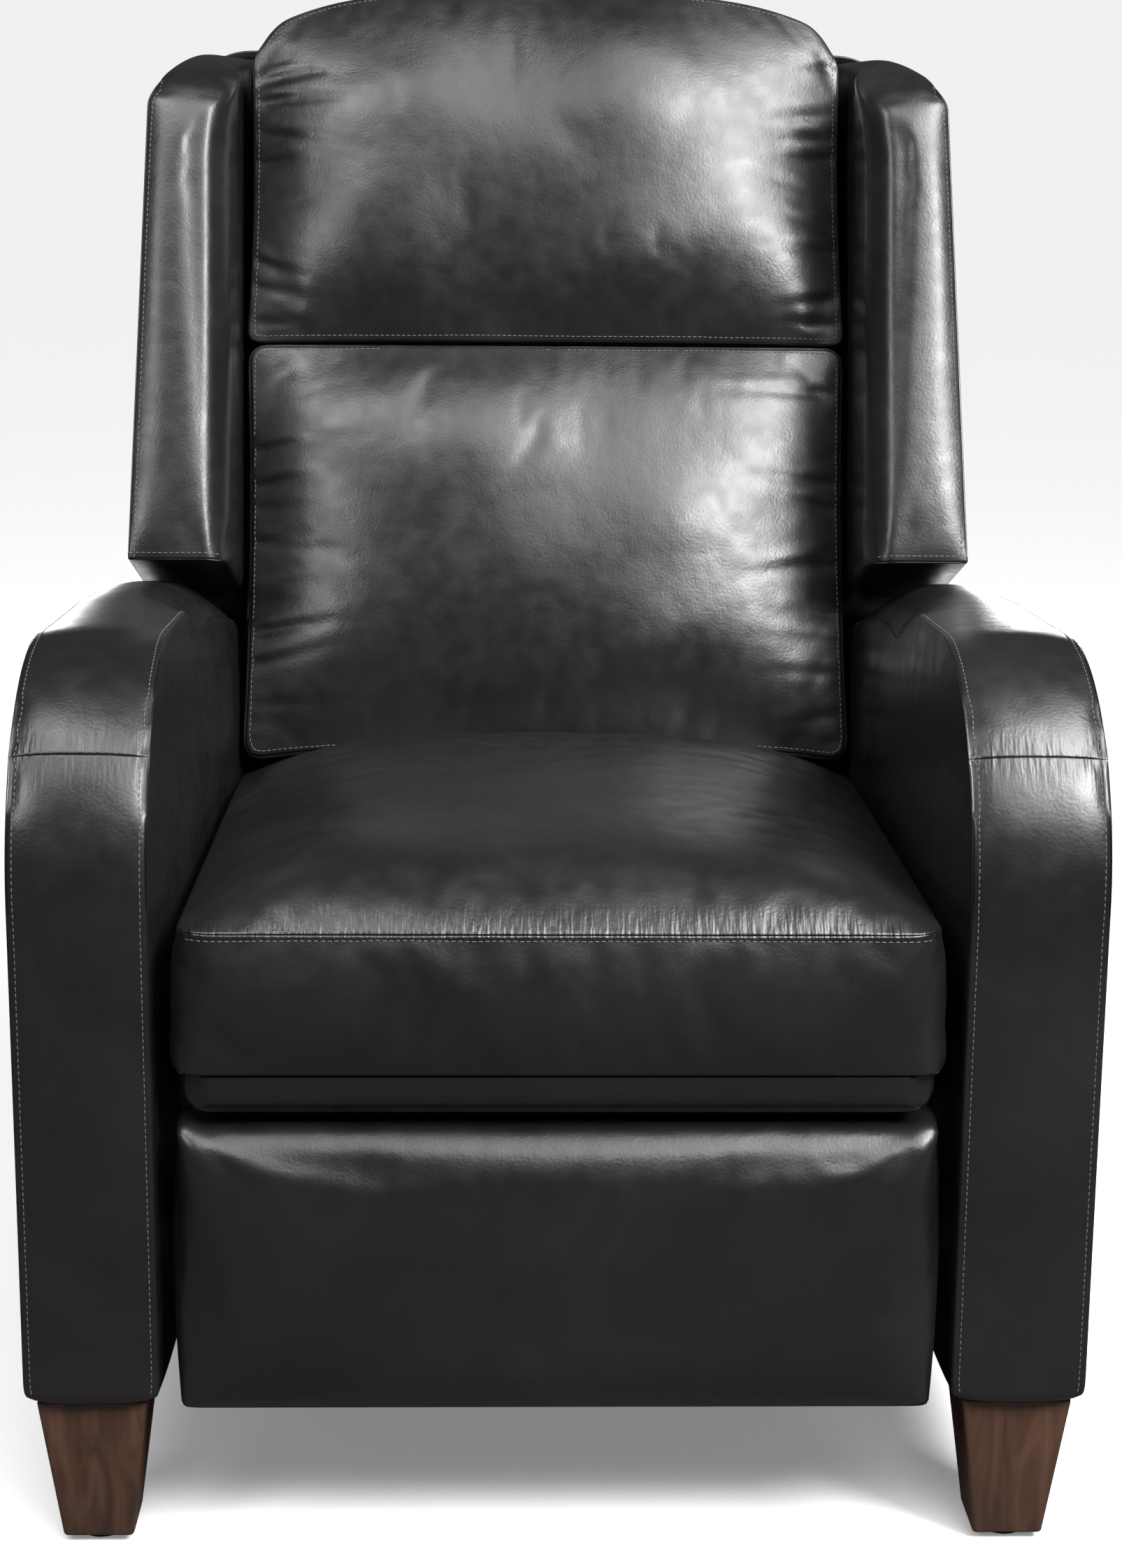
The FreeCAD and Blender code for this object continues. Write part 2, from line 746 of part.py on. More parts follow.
def build_base_steel():
    tracks = []
    arms = []
    for name, side in SIDES:
        x = span(side, *base_layer)
        top = S.base_plate_bottom_z + S.base_plate_height
        main = box(f"{name}_base_strip", x, (plate_front, plate_rear),
                   (S.base_plate_bottom_z, top))
        lug = box(f"{name}_guide_lug", x, (hinge_pivot[0] + S.guide_lug_to_hinge, plate_rear),
                  (top, top + S.guide_lug_height))
        over = (x[0] - 1, x[1] + 1)
        high, low = guide_path()
        slot = hull_plate(f"{name}_guide_slot", over, [high, low],
                          S.guide_pin_radius + S.guide_slot_gap)
        holes = [
            rod(f"{name}_plate_hole{number}", over, spot[0], spot[1], screw_hole)
            for number, spot in enumerate(screw_spots)
        ]
        plate = fuse(f"{name}_base_blank", main, lug)
        finished(f"{name}_base_plate", cut(f"{name}_base_steel", plate, slot, *holes))
        tracks.append(track(f"{name}_front_track", side, front_axle))
        tracks.append(track(f"{name}_rear_track", side, rear_axle))

        b = span(side, *layer_b)
        neck = (lever_pivot[0], S.drive_z + S.fork_neck_rise)
        bar = hull_plate(f"{name}_drive_arm", b, [neck, tube_axis],
                         S.tube_radius + S.drive_arm_spare)
        half = S.pin_radius + S.fork_gap
        prongs = box(f"{name}_prongs", b,
                     (lever_pivot[0] - half - S.fork_prong, lever_pivot[0] + half + S.fork_prong),
                     (S.drive_z + S.fork_foot_rise, S.fork_top_z))
        mouth = box(f"{name}_mouth", (b[0] - 1, b[1] + 1),
                    (lever_pivot[0] - half, lever_pivot[0] + half),
                    (lever_pivot[1] - half, S.fork_top_z + 1))
        arms.append(cut(f"{name}_fork", fuse(f"{name}_fork_blank", bar, prongs), mouth))
    finished("roller_tracks", group("tracks", tracks))
    across = (-base_layer[0] + S.fit_gap, base_layer[0] - S.fit_gap)
    tube = rod("tube_outer", across, *tube_axis, S.tube_radius)
    bore = rod("tube_bore", (across[0] - 1, across[1] + 1), *tube_axis,
               S.tube_radius - S.tube_wall)
    finished("base_cross_tube", cut("cross_tube", fuse("tube_and_arms", tube, *arms), bore))


def build_seat_steel():
    axles = []
    flange_near = S.seat_plate_x - S.seat_flange_width
    for name, side in SIDES:
        y = (depth(S.seat_plate_front), hinge_pivot[0] + S.hinge_plate_margin)
        web = box(f"{name}_seat_web", span(side, *seat_layer), y,
                  (S.seat_plate_bottom_z, S.seat_plate_top_z))
        flange = box(f"{name}_seat_flange", span(side, flange_near, S.seat_plate_x),
                     (y[0], seat_rail_end),
                     (S.seat_plate_top_z - S.track_wall, S.seat_plate_top_z))
        over = span(side, seat_layer[0] - 1, seat_layer[1] + 1)
        spots = (drive_pivot, follower_pivot, hinge_pivot, front_axle, rear_axle)
        holes = [
            rod(f"{name}_seat_hole{number}", over, spot[0], spot[1], pin_hole)
            for number, spot in enumerate(spots)
        ]
        finished(f"{name}_seat_plate",
                 cut(f"{name}_seat_steel", fuse(f"{name}_seat_angle", web, flange), *holes))
        roller = roller_span()
        for number, spot in enumerate((front_axle, rear_axle)):
            title = f"{name}_axle{number}"
            end = roller[1] + S.fit_gap
            axles.append(pin(title, side, seat_layer[0], end, spot))
    finished("roller_axles", group("axles", axles))
    reach = (-seat_layer[0] + S.fit_gap, seat_layer[0] - S.fit_gap)
    y = depth(S.seat_tube_depth)
    tube = rod("seat_tube_outer", reach, y, S.seat_tube_z, S.tube_radius)
    bore = rod("seat_tube_bore", (reach[0] - 1, reach[1] + 1), y, S.seat_tube_z,
               S.tube_radius - S.tube_wall)
    finished("seat_cross_tube", cut("seat_tube", tube, bore))


def roller_span():
    far = base_layer[0] - S.track_wall - S.pin_head_height - S.fit_gap * 3
    return far - S.roller_width, far


def build_rollers():
    for label, axle in (("front_rollers", front_axle), ("rear_rollers", rear_axle)):
        made = []
        for name, side in SIDES:
            near, far = roller_span()
            x = span(side, near, far)
            wheel = rod(f"{name}_{label}_rim", x, axle[0], axle[1], S.roller_radius)
            bore = rod(f"{name}_{label}_bore", (x[0] - 1, x[1] + 1), axle[0], axle[1], pin_hole)
            made.append(cut(f"{name}_{label}", wheel, bore))
        finished(label, group(label, made))


def spring_wire(start, run, length, across, swing, loop):
    """A flat zigzag spring: straight bars across, joined by half turns made of two arcs each."""
    turns = max(4, int(length // (2 * loop)))
    loop = length / (2 * turns + 1)
    point = start - across * swing
    edges = [Part.LineSegment(point, point + run * loop).toShape()]
    point = point + run * loop
    way = 1
    for number in range(turns):
        end = start + run * (loop * (2 * number + 1)) + across * (swing * way)
        edges.append(Part.LineSegment(point, end).toShape())
        if number == turns - 1:
            point = end
            break
        far = end + run * (2 * loop)
        middle = end + run * loop + across * (loop * way)
        slant = loop * math.sqrt(0.5)
        first = end + run * (loop - slant) + across * (slant * way)
        second = end + run * (loop + slant) + across * (slant * way)
        edges.append(Part.Arc(end, first, middle).toShape())
        edges.append(Part.Arc(middle, second, far).toShape())
        point = far
        way = -way
    last = start + run * length + across * (point - start).dot(across)
    edges.append(Part.LineSegment(point, last).toShape())
    return Part.Wire(edges)


def spring(name, start, run, length, across):
    wire = spring_wire(start, run, length, across, S.spring_swing.number,
                       S.spring_loop_radius.number)
    ring = Part.Wire(Part.makeCircle(S.spring_wire_radius.number, wire.Edges[0].Vertexes[0].Point, run))
    thing = doc.addObject("Part::Feature", name)
    thing.Shape = wire.makePipeShell([ring], True, False, 2)
    return thing


spring_half = S.spring_swing + S.spring_loop_radius + S.spring_wire_radius


def build_seat_frame():
    low = S.seat_plate_top_z
    high = low + S.seat_rail_height
    rear_end = seat_rail_end
    rear = rear_end - S.seat_rear_rail_thickness
    front = depth(S.seat_front_rail_front)
    front_end = front + S.seat_front_rail_thickness
    flange_near = S.seat_plate_x - S.seat_flange_width
    rails = [
        box(f"{name}_seat_side_rail", span(side, flange_near, S.seat_plate_x),
            (front_end, rear_end), (low, high))
        for name, side in SIDES
    ]
    finished("seat_side_rails", group("side_rails", rails))
    finished("seat_front_rail",
             box("front_rail", (-S.seat_plate_x, S.seat_plate_x), (front, front_end),
                 (S.seat_front_rail_bottom_z, high)))
    finished("seat_rear_rail",
             box("seat_cross_rail", (-flange_near, flange_near), (rear, rear_end), (low, high)))
    springs = []
    length = (rear - front_end).number
    level = (low.number + high.number) / 2
    outermost = (flange_near - S.seat_spring_side_gap - spring_half).number
    for number in range(-2, 3):
        x = outermost * number / 2
        start = Vector(x, front_end.number, level)
        springs.append(spring(f"seat_spring{number + 2}", start, Vector(0, 1, 0), length,
                              Vector(1, 0, 0)))
    finished("seat_springs", group("seat_wires", springs))


def build_links():
    a = layer_a
    b = layer_b
    c = layer_c
    sets = (
        ("drive_links", a, (lever_pivot, heel_pivot),
         (lever_pivot, drive_pivot, steady_low, heel_pivot)),
        ("coupler_links", b, (toe_pivot, heel_pivot), (toe_pivot, follower_low, heel_pivot)),
        ("follower_links", c, (follower_pivot, follower_low), (follower_pivot, follower_low)),
        ("steady_links", b, (steady_high, steady_low), (steady_high, steady_low)),
    )
    for label, layer, ends, holes in sets:
        made = [
            hull_plate(f"{name}_{label}", span(side, *layer), list(ends), S.link_radius,
                       holes, pin_hole)
            for name, side in SIDES
        ]
        finished(label, group(label, made))
    pins("seat_pivot_pins", "seat_pins_short", a[0], seat_layer[1], [drive_pivot, hinge_pivot])
    pins("seat_follower_pins", "seat_pins_long", c[0], seat_layer[1], [follower_pivot])
    pins("drive_link_pins", "drive_pins", b[0], a[1], [lever_pivot, steady_low, heel_pivot])
    pins("follower_link_pins", "follower_pins", c[0], b[1], [follower_low])
    pins("coupler_link_pins", "coupler_pins", b[0], a[1], [toe_pivot])
    pins("steady_link_pins", "steady_pins", b[0], a[1], [steady_high])


def build_footrest():
    half = S.footrest_half_width - S.footrest_board_inset
    front = depth(S.footrest_board_front)
    rear = front + S.footrest_board_thickness
    low = S.footrest_bottom_z + S.footrest_board_inset
    high = S.footrest_top_z - S.footrest_board_inset
    board = box("board", (-half, half), (front, rear), (low, high))
    flange_end = rear + S.bracket_flange_thickness
    brackets = []
    holes = []
    screws = []
    middle = (S.toe_z + steady_high[1]) / 2
    screw_rows = (middle - S.bracket_flange_height / 3, middle + S.bracket_flange_height / 3)
    near = layer_a[1] - S.bracket_flange_width
    screw_x = near + S.bracket_flange_width / 3
    for name, side in SIDES:
        a = span(side, *layer_a)
        foot = (depth(S.bracket_foot_depth), S.toe_z)
        web = hull_plate(f"{name}_bracket_web", a, [foot, toe_pivot, steady_high], S.link_radius,
                         (toe_pivot, steady_high), pin_hole)
        flange = box(f"{name}_bracket_flange", span(side, near, layer_a[1]), (rear, flange_end),
                     (middle - S.bracket_flange_height / 2, middle + S.bracket_flange_height / 2))
        joint = box(f"{name}_bracket_joint", a, (rear, depth(S.bracket_foot_depth)),
                    (S.toe_z - S.link_radius, S.toe_z + S.link_radius * 2))
        blank = fuse(f"{name}_bracket_blank", web, flange, joint)
        tools = []
        for number, z in enumerate(screw_rows):
            title = f"{name}_footrest_screw{number}"
            place = Rotation(Vector(1, 0, 0), 90)
            parts = []
            for part_name, start, end, radius in (
                ("shank", flange_end, flange_end - S.screw_length, S.screw_radius),
                ("head", flange_end + S.screw_head_height, flange_end, S.screw_head_radius),
                ("hole", flange_end + 1, flange_end - S.screw_length, screw_hole),
            ):
                thing = doc.addObject("Part::Cylinder", f"{title}_{part_name}")
                thing.Placement = Placement(Vector(), place)
                bind(thing, "Radius", radius)
                bind(thing, "Height", start - end)
                move_to(thing, side * screw_x, start, z)
                parts.append(thing)
            screws.append(fuse(title, parts[0], parts[1]))
            tools.append(parts[2])
        brackets.append(cut(f"{name}_bracket", blank, *tools))
        holes += tools
    finished("footrest_brackets", group("board_brackets", brackets))
    finished("footrest_board", cut("board_drilled", board, *holes))
    finished("footrest_screws", group("board_screws", screws))


def stacked_loft(name, stations, section):
    """A solid through one closed section for each station across the chair."""
    wires = [section(x, share) for x, share in stations]
    thing = doc.addObject("Part::Feature", name)
    thing.Shape = Part.makeLoft(wires, True, False)
    return thing


def across_stations(half):
    """Places across a cushion with the share of its fullness there, lower at the ends."""
    shares = ((1.0, 0.08), (0.93, 0.42), (0.78, 0.72), (0.45, 0.94))
    left = [(-half * place, share) for place, share in shares]
    right = [(half * place, share) for place, share in reversed(shares)]
    return left + [(0.0, 1.0)] + right


def ring(points):
    """A closed wire of lines and of arcs: an item with two points is an arc's middle and end."""
    edges = []
    last = points[0][-1]
    for item in points[1:]:
        if len(item) == 1:
            edges.append(Part.LineSegment(last, item[0]).toShape())
        else:
            edges.append(Part.Arc(last, item[0], item[1]).toShape())
        last = item[-1]
    return Part.Wire(edges)


def build_seat_cushion():
    front = depth(S.seat_front_depth).number
    rear = (hinge_pivot[0] - S.seat_back_gap).number
    nose = depth(S.seat_nose_depth).number
    low = (S.seat_plate_top_z + S.seat_rail_height + S.fit_gap).number
    drop = S.seat_nose_z.number
    seam = S.seat_seam_z.number
    crown = S.seat_crown.number
    bulge = S.seat_front_bulge.number
    roll = S.seat_roll_radius.number
    draw = S.seat_draw.number
    rear_roll = S.seat_rear_roll.number

    def section(x, share):
        top = seam - draw * (1 - share)
        peak = top + crown * share
        edge = front + draw * 0.7 * (1 - share)
        end = rear - draw * 0.9 * (1 - share)
        return ring([
            [Vector(x, nose, low)],
            [Vector(x, end, low)],
            [Vector(x, end + 3, (low + top) / 2), Vector(x, end, top - draw)],
            [Vector(x, end - rear_roll / 3, top + crown * share * 0.5), Vector(x, end - rear_roll, peak - 2)],
            [Vector(x, (edge + end - rear_roll) / 2, peak - crown * share * 0.12),
             Vector(x, edge + roll, top + 1)],
            [Vector(x, edge + roll * 0.3, top - roll * 0.3), Vector(x, edge, top - roll)],
            [Vector(x, edge - bulge * share, (drop + top) / 2), Vector(x, edge + 2, drop)],
            [Vector(x, nose, drop)],
            [Vector(x, nose, low)],
        ])

    stations = across_stations(S.seat_half_width.number)
    finished("seat_cushion", stacked_loft("seat_pillow", stations, section))

    band_front = depth(S.band_front_depth).number
    bottom = S.band_bottom_z.number

    def band(x, share):
        high = drop - 1
        return ring([
            [Vector(x, nose, bottom + 2)],
            [Vector(x, nose, high)],
            [Vector(x, band_front + 2, high)],
            [Vector(x, band_front - 2 * share, (bottom + high) / 2), Vector(x, band_front + 4, bottom)],
            [Vector(x, nose, bottom + 2)],
        ])

    stations = across_stations(S.band_half_width.number)
    finished("seat_front_band", stacked_loft("seat_band", stations, band))


def build_footrest_pad():
    front = depth(S.footrest_pad_front).number
    rear = (depth(S.footrest_board_front) - S.fit_gap).number
    low = S.footrest_bottom_z.number
    high = S.footrest_top_z.number
    bulge = S.footrest_pad_bulge.number
    roll = S.footrest_roll_radius.number
    draw = S.footrest_draw.number

    def section(x, share):
        top = high - draw * 0.7 * (1 - share)
        bottom = low + draw * 0.7 * (1 - share)
        face = front + draw * (1 - share)
        return ring([
            [Vector(x, rear, bottom)],
            [Vector(x, rear, top)],
            [Vector(x, face + roll, top)],
            [Vector(x, face + roll * 0.3, top - roll * 0.3), Vector(x, face, top - roll)],
            [Vector(x, face - bulge * share, (top + bottom) / 2), Vector(x, face, bottom + roll)],
            [Vector(x, face + roll * 0.3, bottom + roll * 0.3), Vector(x, face + roll, bottom)],
            [Vector(x, rear, bottom)],
        ])

    stations = across_stations(S.footrest_half_width.number)
    finished("footrest_pad", stacked_loft("footrest_pillow", stations, section))


def build_back_frame():
    y = (S.stile_front, S.stile_front + S.stile_depth)
    for name, side in SIDES:
        stile = box(f"{name}_stile_blank", span(side, S.stile_inner_x, S.stile_outer_x), y,
                    (S.stile_bottom_z, S.stile_top_z))
        finished(f"{name}_back_stile", rake_back(group(f"{name}_stile", [stile])))
    across = (-S.stile_inner_x, S.stile_inner_x)
    middle_y = (S.middle_rail_front, y[1])
    for label, depths, start in (
        ("back_bottom_rail", y, S.bottom_rail_low_z),
        ("back_middle_rail", middle_y, S.middle_rail_low_z),
        ("back_top_rail", y, S.stile_top_z - S.back_rail_height),
    ):
        rail = box(label + "_blank", across, depths, (start, start + S.back_rail_height))
        finished(label, rake_back(group(label, [rail])))
    start = (S.bottom_rail_low_z + S.back_rail_height).number
    length = (S.stile_top_z - S.back_rail_height).number - start
    springs = []
    outermost = (S.stile_inner_x - S.back_spring_side_gap - spring_half).number
    for number in (-1.5, -0.5, 0.5, 1.5):
        x = outermost * number / 1.5
        place = Vector(x, S.back_spring_front.number, start)
        springs.append(spring(f"back_spring{int(number + 1.5)}", place, Vector(0, 0, 1), length,
                              Vector(1, 0, 0)))
    finished("back_springs", rake_back(group("back_wires", springs)))

    guide_pins = []
    brackets = []
    for name, side in SIDES:
        a = span(side, *layer_a)
        low = (as_size(0), as_size(0))
        high = (S.stile_front + S.stile_depth / 2, S.back_bracket_length)
        guide = (as_size(0), S.guide_pin_height)
        bracket = hull_plate(f"{name}_back_bracket_plate", a, [low, high], S.back_bracket_radius)
        hinge = rod(f"{name}_hinge_hole", (a[0] - 1, a[1] + 1), *low, pin_hole)
        hole = rod(f"{name}_guide_hole", (a[0] - 1, a[1] + 1), *guide,
                   S.guide_pin_radius + S.hole_gap)
        brackets.append(cut(f"{name}_bracket_steel", bracket, hinge, hole))
        shank = span(side, layer_a[0], base_layer[1] - S.fit_gap)
        guide_pins.append(rod(f"{name}_guide_shank", shank, *guide, S.guide_pin_radius))
    finished("back_brackets", rake_back(group("stile_brackets", brackets)))
    finished("back_guide_pins", rake_back(group("guide_pins", guide_pins)))


def build_back_cushions():
    back = (S.stile_front - S.fit_gap).number
    seam = S.cushion_seam_front.number
    crown = S.cushion_crown.number
    draw = S.cushion_draw.number
    arch = S.head_arch.number
    half = S.cushion_half_width.number
    roll = S.cushion_roll_radius.number

    def cushion(low, high, top_arch):
        def section(x, share):
            bottom = low + draw * (1 - share) * 0.6
            rise = top_arch * (1 - abs(x / half) ** 4)
            top = high - top_arch + rise - draw * (1 - share) * 0.5
            face = seam + draw * (1 - share)
            middle = (bottom + top) / 2
            return ring([
                [Vector(x, back, bottom + 4)],
                [Vector(x, (back + face) / 2, bottom), Vector(x, face + roll, bottom + 4)],
                [Vector(x, face + roll * 0.25, bottom + roll * 0.4), Vector(x, face, bottom + roll)],
                [Vector(x, face - crown * share, middle), Vector(x, face, top - roll)],
                [Vector(x, face + roll * 0.25, top - roll * 0.4), Vector(x, face + roll, top - 4)],
                [Vector(x, (back + face) / 2, top), Vector(x, back, top - 4)],
                [Vector(x, back, bottom + 4)],
            ])

        return section

    stations = across_stations(half)
    for label, low, high, top_arch in (
        ("lumbar_cushion", S.lumbar_low_z.number, S.lumbar_high_z.number, 0),
        ("head_cushion", S.head_low_z.number, S.head_high_z.number, arch),
    ):
        pillow = stacked_loft(label + "_pillow", stations, cushion(low, high, top_arch))
        finished(label, rake_back(group(label, [pillow])))


def build_wings():
    boards = []
    rails = []
    frame_x = (S.wing_frame_x, S.wing_frame_x + S.wing_frame_thickness)
    inset = S.wing_frame_inset
    frame_y = (S.wing_front + inset, S.wing_rear)
    frame_z = (S.wing_low_front_z + inset, S.wing_high_front_z - S.wing_corner_radius)
    rail_y = (S.wing_rear - S.wing_rail_depth, S.wing_rear)
    for name, side in SIDES:
        body = side_body(
            f"{name}_wing_body",
            span(side, S.wing_inner_x, S.wing_inner_x + S.wing_thickness),
            [
                (S.wing_front, S.wing_low_front_z),
                (S.wing_front, S.wing_high_front_z),
                (S.wing_rear, S.wing_high_rear_z),
                (S.wing_rear, S.wing_low_rear_z),
            ],
            {0: S.wing_low_corner_radius, 1: S.wing_corner_radius, 2: S.wing_rear_corner_radius},
        )
        taper = doc.addObject("Part::Wedge", f"{name}_wing_taper")
        taper.Placement = Placement(Vector(), Rotation(Vector(1, 0, 0), 90))
        low = span(side, S.wing_inner_x, S.wing_inner_x + S.wing_thickness)
        high = span(side, S.wing_inner_x + S.wing_top_inset_inner,
                    S.wing_inner_x + S.wing_thickness - S.wing_top_inset_outer)
        for prop, value in (
            ("Xmin", low[0]), ("Xmax", low[1]), ("X2min", high[0]), ("X2max", high[1]),
            ("Zmin", -S.wing_rear - 5), ("Zmax", 5 - S.wing_front),
            ("Z2min", -S.wing_rear - 5), ("Z2max", 5 - S.wing_front),
            ("Ymin", 0), ("Ymax", S.wing_high_rear_z - S.wing_low_rear_z),
        ):
            bind(taper, prop, value)
        move_to(taper, 0, 0, S.wing_low_rear_z)
        trimmed = doc.addObject("Part::Common", f"{name}_wing_trimmed")
        trimmed.Base = body
        trimmed.Tool = taper
        body = soften_rims(f"{name}_wing_soft", trimmed, S.wing_edge_radius, lambda ends: False)
        gap = S.fit_gap
        room = box(f"{name}_wing_room", span(side, frame_x[0] - gap, frame_x[1] + gap),
                   (frame_y[0] - gap, frame_y[1] + 1), (frame_z[0] - gap, frame_z[1] + gap))
        slots = []
        for number, low in enumerate((S.wing_rail_low_z, S.wing_rail_high_z)):
            x = span(side, S.stile_outer_x, frame_x[0])
            rails.append(box(f"{name}_wing_rail{number}", x, rail_y,
                             (low, low + S.wing_rail_height)))
            slots.append(box(f"{name}_wing_slot{number}",
                             span(side, S.wing_inner_x - 1, frame_x[0]),
                             (rail_y[0] - gap, rail_y[1] + 1),
                             (low - gap, low + S.wing_rail_height + gap)))
        finished(f"{name}_wing_upholstery",
                 rake_back(cut(f"{name}_wing_cover", body, room, *slots)))
        boards.append(box(f"{name}_wing_board", span(side, *frame_x), frame_y, frame_z))
    finished("wing_frames", rake_back(group("wing_boards", boards)))
    finished("wing_rails", rake_back(group("wing_ties", rails)))


def build_outside_back():
    y = (S.stile_front + S.stile_depth + S.fit_gap,
         S.stile_front + S.stile_depth + S.fit_gap + S.panel_thickness)
    upper = box("panel_upper", (-S.panel_half_width, S.panel_half_width), y,
                (S.panel_step_z, S.panel_top_z))
    lower = box("panel_lower", (-S.panel_low_half_width, S.panel_low_half_width), y,
                (S.panel_bottom_z, S.panel_step_z))
    doc.recompute()
    soft = doc.addObject("Part::Fillet", "panel_rounded")
    soft.Base = upper
    corners = []
    top = S.panel_top_z.number
    for k, edge in enumerate(upper.Shape.Edges):
        ends = edge.Vertexes
        level = all(abs(v.Z - top) < 0.01 for v in ends)
        if level and abs(ends[0].X - ends[1].X) < 0.01:
            corners.append((k + 1, S.panel_corner_radius.number, S.panel_corner_radius.number))
    soft.Edges = corners
    finished("outside_back_panel", rake_back(fuse("outside_panel", soft, lower)))


build_arms()
build_legs()
build_base_rails()
build_base_steel()
build_seat_steel()
build_rollers()
build_seat_frame()
build_links()
build_footrest()
build_seat_cushion()
build_footrest_pad()
build_back_frame()
build_back_cushions()
build_wings()
build_outside_back()
doc.recompute()

wrong = [thing.Label for thing in doc.Objects if "Invalid" in thing.State or "Error" in thing.State]
for thing in FINISHED:
    if thing.Shape.isNull() or not thing.Shape.isValid() or not thing.Shape.Solids:
        wrong.append(thing.Label)
if wrong:
    raise RuntimeError("these pieces did not build: " + ", ".join(wrong))

os.makedirs("parts", exist_ok=True)
for thing in FINISHED:
    thing.Shape.exportStep(f"parts/{thing.Label}.step")
whole = Part.makeCompound([thing.Shape for thing in FINISHED]).BoundBox
print(len(FINISHED), "nodes, box", [round(v, 1) for v in (
    whole.XMin, whole.XMax, whole.YMin, whole.YMax, whole.ZMin, whole.ZMax)])
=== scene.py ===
import math

import bpy
import numpy as np
from mathutils import Matrix, Vector, noise
from mathutils.bvhtree import BVHTree
from mathutils.kdtree import KDTree


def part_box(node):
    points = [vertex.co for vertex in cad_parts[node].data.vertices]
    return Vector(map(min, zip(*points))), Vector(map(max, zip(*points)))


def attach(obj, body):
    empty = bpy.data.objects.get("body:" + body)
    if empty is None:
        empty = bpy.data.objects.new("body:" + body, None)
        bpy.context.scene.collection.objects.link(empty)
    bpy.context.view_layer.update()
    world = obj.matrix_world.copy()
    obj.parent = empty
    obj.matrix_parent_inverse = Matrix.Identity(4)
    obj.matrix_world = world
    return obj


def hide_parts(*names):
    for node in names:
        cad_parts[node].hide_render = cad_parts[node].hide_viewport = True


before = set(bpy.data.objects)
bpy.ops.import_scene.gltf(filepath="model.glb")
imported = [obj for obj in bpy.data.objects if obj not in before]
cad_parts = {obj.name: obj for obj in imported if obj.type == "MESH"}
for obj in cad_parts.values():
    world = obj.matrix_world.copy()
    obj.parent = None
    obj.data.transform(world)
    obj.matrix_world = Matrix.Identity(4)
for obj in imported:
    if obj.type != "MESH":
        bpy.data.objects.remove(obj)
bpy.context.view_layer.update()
scene = bpy.context.scene

# Camera: a little left of the middle and above the seat, looking slightly down at the front.
# A long lens on the upright frame of 1605 by 2243 pixels, shifted a little sideways.
CAMERA_PLACE = Vector((-0.0477, -2.1705, 0.9475))
CAMERA_TURN = math.radians(1.25)
CAMERA_DROP = math.radians(12.41)
CAMERA_ROLL = math.radians(0.42)
LENS_MM = 61.52
SIDE_SHIFT = 0.0087

level = Vector((math.sin(CAMERA_TURN), math.cos(CAMERA_TURN), 0))
upright = Vector((0, 0, 1))
right = Vector((math.cos(CAMERA_TURN), -math.sin(CAMERA_TURN), 0))
ahead = level * math.cos(CAMERA_DROP) - upright * math.sin(CAMERA_DROP)
above = level * math.sin(CAMERA_DROP) + upright * math.cos(CAMERA_DROP)
rolled_right = right * math.cos(CAMERA_ROLL) + above * math.sin(CAMERA_ROLL)
rolled_up = above * math.cos(CAMERA_ROLL) - right * math.sin(CAMERA_ROLL)
bpy.ops.object.camera_add()
camera = bpy.context.object
camera.data.lens = LENS_MM
camera.data.shift_x = SIDE_SHIFT
axes = Matrix((rolled_right, rolled_up, -ahead)).transposed().to_4x4()
camera.matrix_world = Matrix.Translation(CAMERA_PLACE) @ axes
scene.camera = camera


# Studio: a plain pale floor and pale surroundings, with soft lamps above the front, at both
# sides and low behind, as for a catalogue picture of a dark leather chair.
FLOOR_SIZE = 60.0
FLOOR_COLOUR = (0.96, 0.96, 0.96)
FLOOR_REFLECTED = (0.10, 0.10, 0.10)
FLOOR_GLOW = 0.225
ROOM_LIGHT = 0.065
ROOM_SEEN = 0.875
SKY_LIGHT = 2.3
SKY_SPREAD = math.radians(42)
SKY_TILT = math.radians(33)
SKY_TURN = math.radians(20)
LAMPS = (
    ("left_lamp", (-0.95, -0.95, 2.6), (-0.1, 0.1, 0.8), 0.75, 0.75, 20),
    ("right_lamp", (1.12, -0.88, 2.55), (0.1, 0.1, 0.8), 1.0, 0.75, 50),
    ("left_side_lamp", (-1.5, -1.7, 1.9), (-0.3, 0.1, 0.8), 0.6, 0.9, 18),
    ("right_side_lamp", (1.4, -1.7, 2.0), (0.3, 0.1, 0.8), 0.6, 0.9, 72),
    ("front_lamp", (0.95, -2.5, 2.5), (0.2, 0.1, 0.8), 1.6, 0.9, 13),
    ("rear_left_lamp", (-1.2, 2.1, 0.55), (-0.1, 0.3, 0.6), 0.9, 0.7, 45),
    ("rear_right_lamp", (1.2, 2.1, 0.55), (0.1, 0.3, 0.6), 0.9, 0.7, 45),
)


def new_finish(name, colour, roughness):
    """A surface with one shader; its colour and roughness may be linked to patterns later."""
    finish = bpy.data.materials.new(name)
    finish.use_nodes = True
    shader = finish.node_tree.nodes["Principled BSDF"]
    shader.inputs["Base Color"].default_value = (*colour, 1)
    shader.inputs["Roughness"].default_value = roughness
    return finish, shader


